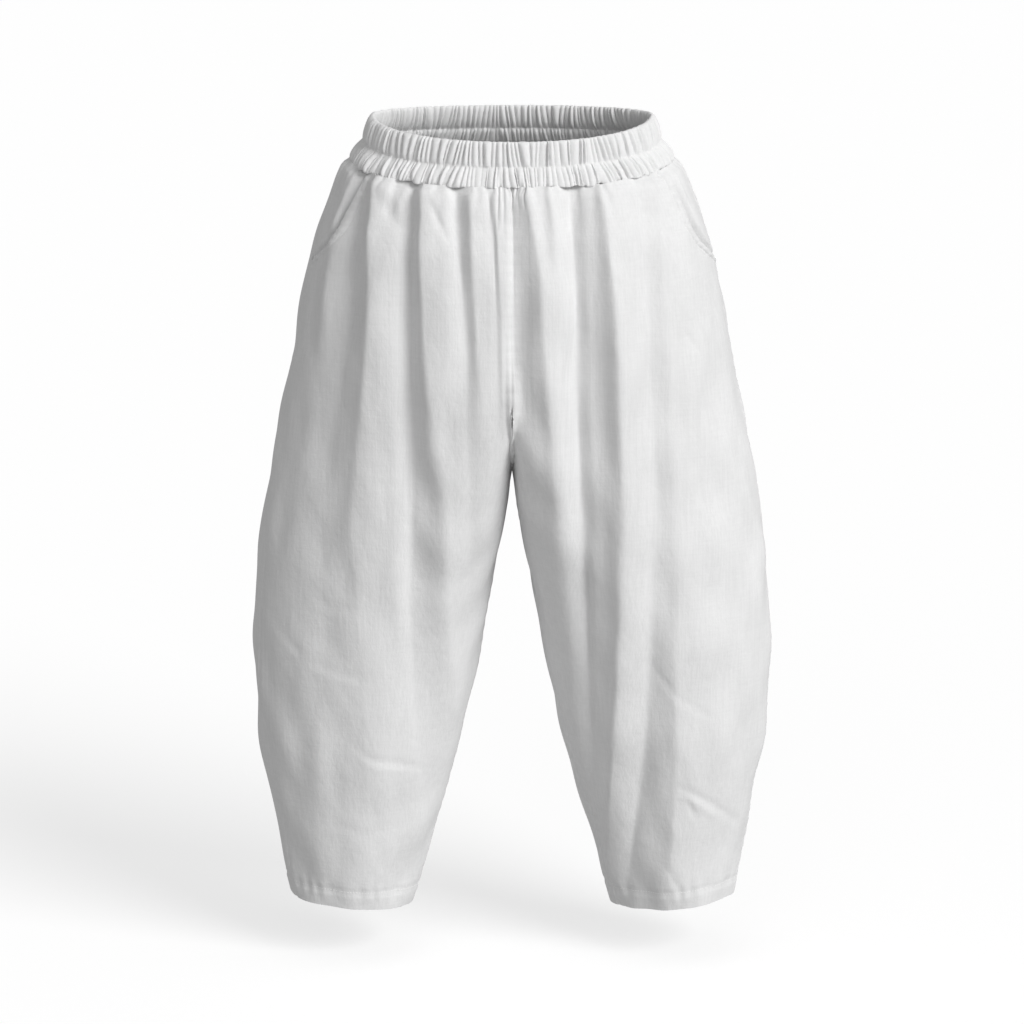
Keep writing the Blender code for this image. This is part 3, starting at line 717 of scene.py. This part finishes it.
def add_wall(name, outside, inside, side):
    rows, columns = outside.shape[:2]
    points = np.concatenate([outside.reshape(-1, 3), inside.reshape(-1, 3)])
    faces = wall_quads(rows, columns)
    if side < 0.0:
        faces = faces[:, ::-1]
    return add_mesh(name, points, faces)


def fine_rows():
    """Heights at the side and at the inner edge of every row, closely spaced and with each row of ROWS."""
    at_side = [ROWS[0][0]]
    at_inner = [ROWS[0][1]]
    for upper, lower in zip(ROWS, ROWS[1:]):
        count = max(1, round((upper[0] - lower[0] + upper[1] - lower[1]) / 2 / ROW_STEP))
        parts = np.linspace(0.0, 1.0, count + 1)[1:]
        at_side.extend(upper[0] + (lower[0] - upper[0]) * parts)
        at_inner.extend(upper[1] + (lower[1] - upper[1]) * parts)
    return np.array(at_side), np.array(at_inner)


SIDE_ROWS, INNER_ROWS = fine_rows()


def row_heights(shares):
    from_seam = np.minimum(shares, 2.0 - shares)
    toward_side = eased(from_seam / LEVEL_FROM)
    return INNER_ROWS[:, None] + (SIDE_ROWS - INNER_ROWS)[:, None] * toward_side


def seam_shares(name, side_heights, inner_heights):
    first = 1 if name == "left" else 3
    side_seam = BODY.share_before_side(side_heights, curve_through(SEAM_PATHS, first, side_heights))
    inseam = BODY.share_after_inner(inner_heights, curve_through(SEAM_PATHS, first + 1, inner_heights))
    return side_seam, inseam


def pocket_cut(heights):
    return np.where(heights > POCKET_EDGE[-1][0], curve_through(POCKET_EDGE, 1, heights), 0.0)


def pocket_share(name, heights):
    first = 1 if name == "left" else 3
    cloth = curve_through(SEAM_PATHS, first, heights) + pocket_cut(heights)
    return BODY.share_before_side(heights, cloth)


def spread(start, end, count, crowd=0.35):
    """Places from start to end for every row, closer together towards both edges."""
    even = np.linspace(0.0, 1.0, count + 1)
    crowded = 0.5 * (1.0 - np.cos(np.pi * even))
    across = (even + crowd * (crowded - even))[None, :]
    return start[:, None] + (end - start)[:, None] * across


def centre_seam_relief(distance, heights, centre_seed, side):
    """The centre seam above the crotch and the inseam below it."""
    inseam_seed = INSEAM_SEEDS[side]
    above = seam_relief(distance, heights, centre_seed)
    return np.where(heights > CROTCH, above, seam_relief(distance, heights, inseam_seed))


def dress(points, shares, heights, side, face):
    """Adds the small relief to the outer face of a front or back panel."""
    normal = grid_normals(points, side)
    lengths = cloth_lengths(points)
    from_end = lengths[:, -1:] - lengths
    around = side * WAIST_ROUND / 4 * np.minimum(shares, 2.0)
    relief = wave_relief(points) + gather_relief(around, heights) + head_relief(heights)
    if face == "front":
        in_pocket = eased((heights - POCKET_EDGE[-1][0] + 0.004) / 0.012)
        stitched = POCKET_GROOVE * bell((from_end - POCKET_STITCH) / POCKET_GROOVE_WIDTH)
        phase = 2.0 * np.pi * heights / POCKET_PUCKER_LENGTH + 2.0 * np.sin(60.0 * heights)
        strip = bell((from_end - 0.55 * POCKET_STITCH) / (0.55 * POCKET_STITCH))
        relief += in_pocket * ((POCKET_RISE + POCKET_PUCKER * np.sin(phase)) * strip - stitched)
        relief += (1.0 - in_pocket) * seam_relief(from_end, heights, SIDE_SEEDS[side])
        relief += centre_seam_relief(lengths, heights, CENTRE_SEEDS[face], side)
    else:
        relief += seam_relief(lengths, heights, SIDE_SEEDS[side])
        relief += centre_seam_relief(from_end, heights, CENTRE_SEEDS[face], side)
    above_hem = heights - HEM_LINE
    turn = np.arctan2(points[..., 1], points[..., 0] - side * 0.18)
    hem_puckers = np.sin(22.0 * turn + 2.5 * np.sin(5.0 * turn + side))
    relief += HEM_PUCKER * hem_puckers * bell(above_hem / HEM_PUCKER_REACH)
    relief -= HEM_GROOVE * bell(above_hem / HEM_GROOVE_WIDTH)
    relief += HEM_RISE * eased(-above_hem / HEM_RISE_RUN)
    return points + relief[..., None] * normal, lengths


def add_panel(name, side, shares, face):
    heights = row_heights(shares)
    points = smooth_place(shares, heights, side)
    lengths = cloth_lengths(points)
    points = soften_crotch(points, heights, np.minimum(lengths, lengths[:, -1:] - lengths))
    outside, lengths = dress(points, shares, heights, side, face)
    thickness = CLOTH + (HEM_CLOTH - CLOTH) * eased((HEM_LINE - heights) / 0.0008 + 1.0)
    inside = outside - thickness[..., None] * grid_normals(outside, side)
    return add_wall(name, outside, inside, side), outside, lengths


def front_panel(name, side):
    side_seam, inseam = seam_shares(name, SIDE_ROWS, INNER_ROWS)
    shares = spread(inseam, side_seam, PANEL_COLUMNS)
    edge = pocket_share(name, SIDE_ROWS)[:, None]
    crowding = (edge - CROWDED_FROM) / (side_seam[:, None] - CROWDED_FROM)
    crowded = CROWDED_FROM + (shares - CROWDED_FROM) * crowding
    shares = np.where(shares > CROWDED_FROM, crowded, shares)
    return add_panel(f"front_{name}_cloth", side, shares, "front")


def back_panel(name, side):
    side_seam, inseam = seam_shares(name, SIDE_ROWS, INNER_ROWS)
    shares = spread(side_seam, 2.0 + inseam, PANEL_COLUMNS)
    return add_panel(f"back_{name}_cloth", side, shares, "back")


def pocket_facing(name, side):
    first = 1 if name == "left" else 3
    heights = SIDE_ROWS[SIDE_ROWS > FACING_FOOT]
    heights = np.append(heights, FACING_FOOT)[:, None]
    side_cloth = curve_through(SEAM_PATHS, first, heights)
    edge = pocket_share(name, heights)
    seam = BODY.share_before_side(heights, side_cloth)
    under = BODY.share_before_side(heights, side_cloth + pocket_cut(heights) + FACING_UNDER)
    shares = under + (seam - under) * np.linspace(0.0, 1.0, FACING_COLUMNS + 1)[None, :]
    heights = np.broadcast_to(heights, shares.shape)
    rise_run = 1.0 - BODY.share_before_side(heights, FACING_EMERGES)
    down = np.clip((WAIST_SEAM - heights) / (WAIST_SEAM - POCKET_EDGE[-1][0]), 0.0, 1.0)
    sunk = 0.0027 + POCKET_GAPE * np.sin(np.pi * down) ** 2
    sunk = sunk * (1.0 - eased((shares - edge) / rise_run - 0.4))
    points = smooth_place(shares, heights, side)
    normal = grid_normals(points, side)
    lengths = cloth_lengths(points)
    relief = wave_relief(points) + head_relief(heights)
    relief += gather_relief(side * WAIST_ROUND / 4 * shares, heights)
    relief += seam_relief(lengths[:, -1:] - lengths, heights, SIDE_SEEDS[side]) - sunk
    outside = points + relief[..., None] * normal
    inside = outside - CLOTH * normal
    return add_wall(f"pocket_facing_{name}_cloth", outside, inside, side)


# Waistband
BAND_RINGS = (
    # height, side, front, back
    (0.0235, 0.1530, 0.1080, 0.1080),
    (0.0105, 0.1565, 0.1100, 0.1100),
    (-0.0030, 0.1615, 0.1140, 0.1140),
    (-0.0120, 0.1680, 0.1195, 0.1195),
    (-0.0235, 0.1752, 0.1262, 0.1262),
)
# From the foot inside, down and round the outer face, over the rim and down inside
BAND_PROFILE = (
    # height, out, rib, puff, lift
    (-0.0190, -0.0036, 0.20, 0.0, 0.0),
    (-0.0222, -0.0026, 0.30, 0.5, 0.8),
    (-0.0230, -0.0012, 0.50, 0.9, 1.0),
    (-0.0208, 0.0002, 0.80, 1.0, 1.0),
    (-0.0170, 0.0008, 1.05, 0.9, 0.6),
    (-0.0120, 0.0008, 1.10, 0.6, 0.2),
    (-0.0070, 0.0004, 1.00, 0.2, 0.0),
    (-0.0040, -0.0004, 0.60, 0.0, 0.0),
    (-0.0025, -0.0007, 0.45, 0.0, 0.0),
    (-0.0010, -0.0003, 0.60, 0.0, 0.0),
    (0.0020, 0.0006, 0.95, 0.0, 0.0),
    (0.0070, 0.0012, 1.10, 0.0, 0.0),
    (0.0120, 0.0012, 1.10, 0.0, 0.0),
    (0.0170, 0.0007, 1.05, 0.0, 0.0),
    (0.0208, 0.0000, 0.85, 0.0, 0.1),
    (0.0230, -0.0014, 0.30, 0.0, 0.4),
    (0.0236, -0.0030, -0.05, 0.0, 0.5),
    (0.0225, -0.0044, -0.50, 0.0, 0.3),
    (0.0190, -0.0054, -0.85, 0.0, 0.1),
    (0.0130, -0.0058, -1.00, 0.0, 0.0),
    (0.0070, -0.0057, -0.95, 0.0, 0.0),
    (0.0020, -0.0048, -0.80, 0.0, 0.0),
    (-0.0010, -0.0038, -0.40, 0.0, 0.0),
    (-0.0025, -0.0034, -0.25, 0.0, 0.0),
    (-0.0040, -0.0038, -0.40, 0.0, 0.0),
    (-0.0080, -0.0050, -0.80, -0.5, 0.0),
    (-0.0140, -0.0054, -0.60, -0.9, 0.0),
    (-0.0190, -0.0046, -0.30, -0.7, 0.0),
)
PROFILE_STEPS = 2
RIB_COLUMNS = 11
RIBS = 150
LOWER_RIBS = 190
PUFFS = 58
RIB_DEPTH = 0.0042
PUFF_DEPTH = 0.0018
PUFF_LIFT = 0.0022
RIB_SWAY = 0.0022
RIB_SHARPNESS = 0.60
PUFF_SHARPNESS = 0.70
KNOT_SHARE = 0.7
KNOT_DROP = 120.0
RIM_WAVE = 0.0016
RING_SAMPLES = 1201
BAND_STITCH = -0.0025
# Knots of gathered cloth above the heads of the big folds
KNOTS = (
    # x, out, half width
    (-0.152, 0.0030, 0.0070),
    (-0.132, 0.0034, 0.0065),
    (-0.122, -0.0030, 0.0022),
    (-0.100, 0.0040, 0.0060),
    (-0.107, -0.0036, 0.0020),
    (-0.078, -0.0024, 0.0022),
    (-0.052, 0.0022, 0.0060),
    (-0.020, 0.0026, 0.0055),
    (-0.013, -0.0030, 0.0020),
    (0.010, -0.0030, 0.0020),
    (0.016, 0.0022, 0.0050),
    (0.036, -0.0024, 0.0022),
    (0.058, 0.0024, 0.0060),
    (0.072, -0.0036, 0.0022),
    (0.081, 0.0042, 0.0065),
    (0.104, 0.0024, 0.0060),
    (0.132, 0.0022, 0.0065),
)


def ring_through(side, front, back, turns):
    """Plan points round the body at these turns, from the centre front past the left side, and the way out."""
    across = 0.5 * (1.0 - np.cos(np.pi * np.linspace(0.0, 1.0, RING_SAMPLES)))
    shape = (1.0 - across**SIDE_ROUNDNESS) ** (1.0 / SIDE_ROUNDNESS)
    x = np.concatenate([side * across, side * across[-2::-1], -side * across[1:], -side * across[-2::-1]])
    y = np.concatenate([-front * shape, back * shape[-2::-1], back * shape[1:], -front * shape[-2::-1]])
    travelled = np.concatenate([[0.0], np.cumsum(np.hypot(np.diff(x), np.diff(y)))])
    wanted = travelled[-1] * turns
    x = np.interp(wanted, travelled, x)
    y = np.interp(wanted, travelled, y)
    run = np.stack([np.roll(x, -1) - np.roll(x, 1), np.roll(y, -1) - np.roll(y, 1)])
    run /= np.hypot(run[0], run[1])
    return x, y, np.stack([run[1], -run[0]])


def uneven_ribs(count, jitter, heights):
    """Valley places round the ring, as turns, and a height for every rib."""
    valleys = (np.arange(count) + rng.uniform(-jitter, jitter, count)) / count
    tops = rng.uniform(heights[0], heights[1], count)
    return valleys, tops


def rib_wave(turns, ribs, power):
    """0 in the valleys and about 1 on the ribs."""
    valleys, tops = ribs
    count = len(valleys)
    wrapped = np.concatenate([valleys - 1.0, valleys, valleys + 1.0])
    place = np.interp(turns % 1.0, wrapped, np.arange(3 * count))
    rib = np.floor(place).astype(int)
    within = place - rib
    return tops[rib % count] * np.abs(np.sin(np.pi * within)) ** power


def bent(table, index, steps):
    """A column of a profile, with points put between on a smooth curve."""
    values = column(table, index)
    padded = np.concatenate([2 * values[:1] - values[1:2], values, 2 * values[-1:] - values[-2:-1]])
    found = []
    for i in range(1, len(values)):
        before, start, end, after = padded[i - 1 : i + 3]
        for t in np.arange(steps) / steps:
            found.append(
                0.5
                * (
                    2 * start
                    + (end - before) * t
                    + (2 * before - 5 * start + 4 * end - after) * t * t
                    + (3 * start - before - 3 * end + after) * t**3
                )
            )
    return np.array(found + [values[-1]])


def waistband():
    columns = RIBS * RIB_COLUMNS
    turns = np.arange(columns) / columns
    upper = uneven_ribs(RIBS, 0.36, (0.35, 1.15))
    lower = uneven_ribs(LOWER_RIBS, 0.40, (0.15, 1.05))
    puffs = uneven_ribs(PUFFS, 0.34, (0.3, 1.2))
    inner_upper = uneven_ribs(RIBS, 0.30, (0.55, 1.25))
    inner_lower = uneven_ribs(LOWER_RIBS, 0.34, (0.45, 1.25))
    sway = RIB_SWAY * (np.sin(2 * np.pi * (7 * turns + 0.3)) + np.sin(2 * np.pi * (19 * turns + 0.1)))
    heights, outs, rib_shares, puff_shares, lifts = (bent(BAND_PROFILE, i, PROFILE_STEPS) for i in range(5))
    loops = []
    for row, (height, out, rib_share, puff_share, lift) in enumerate(
        zip(heights, outs, rib_shares, puff_shares, lifts)
    ):
        side, front, back = (curve_through(BAND_RINGS, i, np.array([height]))[0] for i in (1, 2, 3))
        x, y, direction = ring_through(side, front, back, turns)
        inside = out < -0.0031 and row > len(heights) // 2
        slanted = turns + sway * height / 0.02
        above_stitch = eased((height + 0.0040) / 0.003)
        rows = (inner_upper, inner_lower) if inside else (upper, lower)
        ribs = above_stitch * rib_wave(slanted, rows[0], RIB_SHARPNESS)
        ribs += (1.0 - above_stitch) * rib_wave(slanted, rows[1], RIB_SHARPNESS)
        puff = rib_wave(slanted, puffs, PUFF_SHARPNESS)
        in_front = y < 0.0
        knot = np.zeros_like(x)
        for knot_x, knot_out, half_width in KNOTS:
            knot += in_front * knot_out * bell((x - knot_x) / half_width)
        reach = out + RIB_DEPTH * rib_share * (ribs - 0.5) + PUFF_DEPTH * puff_share * (puff - 0.4)
        reach = reach + KNOT_SHARE * max(puff_share, 0.0) * knot
        drop = FRONT_DROP * np.clip(-y / front, 0.0, 1.0) ** FRONT_DROP_POWER
        if height > 0.0:
            edge_lift = lift * RIM_WAVE * (ribs - 0.5)
        else:
            edge_lift = -lift * PUFF_LIFT * (puff + KNOT_DROP * knot - 0.5)
        way_x, way_y = direction
        z = height - drop + edge_lift
        loops.append(np.stack([x + reach * way_x, y + reach * way_y, z], axis=-1))
    loops = np.array(loops)
    count = len(loops)
    index = np.arange(count * columns).reshape(count, columns)
    after = np.roll(index, -1, axis=1)
    below = np.roll(index, -1, axis=0)
    below_after = np.roll(after, -1, axis=0)
    faces = np.stack([index.ravel(), after.ravel(), below_after.ravel(), below.ravel()], axis=1)
    return add_mesh("waistband_cloth", loops.reshape(-1, 3), faces), loops


# Stitches
STITCH = 0.0024
STITCH_GAP = 0.0009
THREAD = 0.00028


def add_stitches(name, paths):
    """Short raised threads along lines of points that lie on the cloth, each with the way out at its points."""
    points = []
    faces = []
    for line, out in paths:
        steps = np.linalg.norm(np.diff(line, axis=0), axis=1)
        travelled = np.concatenate([[0.0], np.cumsum(steps)])
        starts = np.arange(0.0, travelled[-1] - STITCH, STITCH + STITCH_GAP)
        for start in starts:
            first = len(points)
            marks = start + STITCH * np.array([0.0, 0.2, 0.8, 1.0])
            centres = np.stack([np.interp(marks, travelled, line[:, i]) for i in range(3)], axis=1)
            ways = np.stack([np.interp(marks, travelled, out[:, i]) for i in range(3)], axis=1)
            ways /= np.linalg.norm(ways, axis=1, keepdims=True)
            along = centres[-1] - centres[0]
            along /= np.linalg.norm(along)
            sideways = np.cross(ways, along)
            for k, size in enumerate((0.25, 1.0, 1.0, 0.25)):
                for a, b in ((1, 0), (0, 1), (-1, 0), (0, -1)):
                    lifted = THREAD * size * (b * 0.8 + 0.35) - THREAD * (1.0 - size) * 0.8
                    points.append(centres[k] + THREAD * size * a * sideways[k] + lifted * ways[k])
            for k in range(3):
                ring = first + 4 * k
                for i in range(4):
                    j = (i + 1) % 4
                    faces.append([ring + i, ring + j, ring + 4 + j, ring + 4 + i])
            faces.append([first + 3, first + 2, first + 1, first])
            faces.append([first + 12, first + 13, first + 14, first + 15])
    return add_mesh(name, points, faces)


def cloth_material():
    material = bpy.data.materials.new("cotton_linen_cloth")
    material.use_nodes = True
    nodes = material.node_tree.nodes
    links = material.node_tree.links
    shader = nodes["Principled BSDF"]
    shader.inputs["Roughness"].default_value = 0.92
    shader.inputs["Specular IOR Level"].default_value = 0.15
    shader.inputs["Sheen Weight"].default_value = 0.12
    shader.inputs["Sheen Roughness"].default_value = 0.5
    place = nodes.new("ShaderNodeTexCoord")

    def noise(scale_round, scale_up, detail, roughness=0.5):
        mapping = nodes.new("ShaderNodeMapping")
        mapping.inputs["Scale"].default_value = (scale_round, scale_round, scale_up)
        links.new(place.outputs["Object"], mapping.inputs["Vector"])
        texture = nodes.new("ShaderNodeTexNoise")
        texture.inputs["Scale"].default_value = 1.0
        texture.inputs["Detail"].default_value = detail
        texture.inputs["Roughness"].default_value = roughness
        links.new(mapping.outputs["Vector"], texture.inputs["Vector"])
        return texture.outputs["Fac"]

    def mixed(a, b, weight_a, weight_b, offset=0.0):
        first = nodes.new("ShaderNodeMath")
        first.operation = "MULTIPLY_ADD"
        links.new(a, first.inputs[0])
        first.inputs[1].default_value = weight_a
        first.inputs[2].default_value = offset
        second = nodes.new("ShaderNodeMath")
        second.operation = "MULTIPLY_ADD"
        links.new(b, second.inputs[0])
        second.inputs[1].default_value = weight_b
        links.new(first.outputs[0], second.inputs[2])
        return second.outputs[0]

    streaks = noise(420.0, 12.0, 3.0)
    slubs = noise(45.0, 520.0, 2.0)
    patches = noise(26.0, 15.0, 3.0, 0.6)
    crinkles = noise(62.0, 38.0, 5.0, 0.62)
    tone = mixed(streaks, slubs, 0.70, 0.35)
    tone = mixed(tone, patches, 1.0, 0.50, -0.28)
    ramp = nodes.new("ShaderNodeMapRange")
    ramp.inputs["From Min"].default_value = 0.2
    ramp.inputs["From Max"].default_value = 0.8
    ramp.inputs["To Min"].default_value = 0.74
    ramp.inputs["To Max"].default_value = 0.83
    links.new(tone, ramp.inputs["Value"])
    colour = nodes.new("ShaderNodeCombineColor")
    links.new(ramp.outputs["Result"], colour.inputs["Red"])
    links.new(ramp.outputs["Result"], colour.inputs["Green"])
    links.new(ramp.outputs["Result"], colour.inputs["Blue"])
    links.new(colour.outputs["Color"], shader.inputs["Base Color"])
    bump = nodes.new("ShaderNodeBump")
    bump.inputs["Strength"].default_value = 1.0
    bump.inputs["Distance"].default_value = 0.0012
    links.new(mixed(mixed(streaks, slubs, 0.10, 0.05), crinkles, 1.0, 1.0), bump.inputs["Height"])
    links.new(bump.outputs["Normal"], shader.inputs["Normal"])
    return material


def thread_material():
    material = bpy.data.materials.new("thread")
    material.use_nodes = True
    shader = material.node_tree.nodes["Principled BSDF"]
    shader.inputs["Base Color"].default_value = (0.82, 0.82, 0.81, 1.0)
    shader.inputs["Roughness"].default_value = 0.7
    return material


CLOTH_LOOK = cloth_material()
THREAD_LOOK = thread_material()


def place(piece, look, nodes=()):
    piece.data.materials.append(look)
    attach(piece, "root")
    if nodes:
        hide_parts(*nodes)


band, band_loops = waistband()
place(band, CLOTH_LOOK, ("waistband",))

stitch_lines = {"hem": [], "pocket": []}
for side_name, side_sign in SIDES:
    front, front_points, front_lengths = front_panel(side_name, side_sign)
    place(front, CLOTH_LOOK, (f"front_{side_name}",))
    back, back_points, back_lengths = back_panel(side_name, side_sign)
    place(back, CLOTH_LOOK, (f"back_{side_name}",))
    facing = pocket_facing(side_name, side_sign)
    place(facing, CLOTH_LOOK, (f"pocket_facing_{side_name}",))
    for cloth in (front_points, back_points):
        ways = grid_normals(cloth, side_sign)
        row = int(np.argmin(np.abs(SIDE_ROWS - HEM_LINE)))
        stitch_lines["hem"].append((cloth[row], ways[row]))
    ways = grid_normals(front_points, side_sign)
    line = []
    out = []
    for row in range(2, int(np.argmin(np.abs(SIDE_ROWS - POCKET_EDGE[-1][0])))):
        inward = front_lengths[row, -1] - POCKET_STITCH
        at = int(np.argmin(np.abs(front_lengths[row] - inward)))
        line.append(front_points[row, at])
        out.append(ways[row, at])
    stitch_lines["pocket"].append((np.array(line), np.array(out)))

profile_heights = bent(BAND_PROFILE, 0, PROFILE_STEPS)[: len(band_loops) // 2]
stitch_row = int(np.argmin(np.abs(profile_heights - BAND_STITCH)))
ring = np.vstack([band_loops[stitch_row], band_loops[stitch_row][:1]])
outwards = ring * (1.0, 1.0, 0.0)
outwards /= np.linalg.norm(outwards, axis=1, keepdims=True)
stitch_lines["waist"] = [(ring, outwards)]
for name in ("waist", "hem", "pocket"):
    place(add_stitches(f"{name}_stitches", stitch_lines[name]), THREAD_LOOK)

# Floor, light and camera
FLOOR_HEIGHT = -0.912
FLOOR_SIZE = 80.0
bpy.ops.mesh.primitive_plane_add(size=FLOOR_SIZE, location=(0.0, 0.0, FLOOR_HEIGHT))
floor = bpy.context.object
floor.name = "floor"
floor_look = bpy.data.materials.new("floor")
floor_look.use_nodes = True
floor_shader = floor_look.node_tree.nodes["Principled BSDF"]
floor_shader.inputs["Base Color"].default_value = (0.48, 0.48, 0.48, 1.0)
floor_shader.inputs["Roughness"].default_value = 1.0
floor_shader.inputs["Specular IOR Level"].default_value = 0.0
floor_shader.inputs["Emission Color"].default_value = (1.0, 1.0, 1.0, 1.0)
floor_shader.inputs["Emission Strength"].default_value = 0.62
floor.data.materials.append(floor_look)
floor.visible_diffuse = False

scene = bpy.context.scene
world = bpy.data.worlds.new("studio")
world.use_nodes = True
world.node_tree.nodes["Background"].inputs["Color"].default_value = (1.0, 1.0, 1.0, 1.0)
world.node_tree.nodes["Background"].inputs["Strength"].default_value = 0.345
scene.world = world


def add_sun(name, azimuth, elevation, angle, strength):
    """A sun whose light comes from this many degrees to the right of the front and above the level."""
    light = bpy.data.lights.new(name, "SUN")
    light.angle = np.radians(angle)
    light.energy = strength
    made = bpy.data.objects.new(name, light)
    turn, rise = np.radians(azimuth), np.radians(elevation)
    toward = Vector((np.sin(turn) * np.cos(rise), -np.cos(turn) * np.cos(rise), np.sin(rise)))
    made.rotation_euler = toward.to_track_quat("Z", "Y").to_euler()
    scene.collection.objects.link(made)
    return made


add_sun("key", 47.0, 32.0, 34.0, 2.35)
add_sun("front", -8.0, 22.0, 50.0, 0.28)

CAMERA_AIM = (0.0, 0.0, -0.414)
CAMERA_AT = (0.0, -3.920, 0.3835)
camera_data = bpy.data.cameras.new("camera")
camera_data.lens = 127.8
camera_data.sensor_width = 36.0
camera_data.clip_end = 200.0
camera = bpy.data.objects.new("camera", camera_data)
camera.location = CAMERA_AT
camera.rotation_euler = (Vector(CAMERA_AIM) - Vector(CAMERA_AT)).to_track_quat("-Z", "Y").to_euler()
scene.collection.objects.link(camera)
scene.camera = camera
scene.view_settings.view_transform = "Standard"
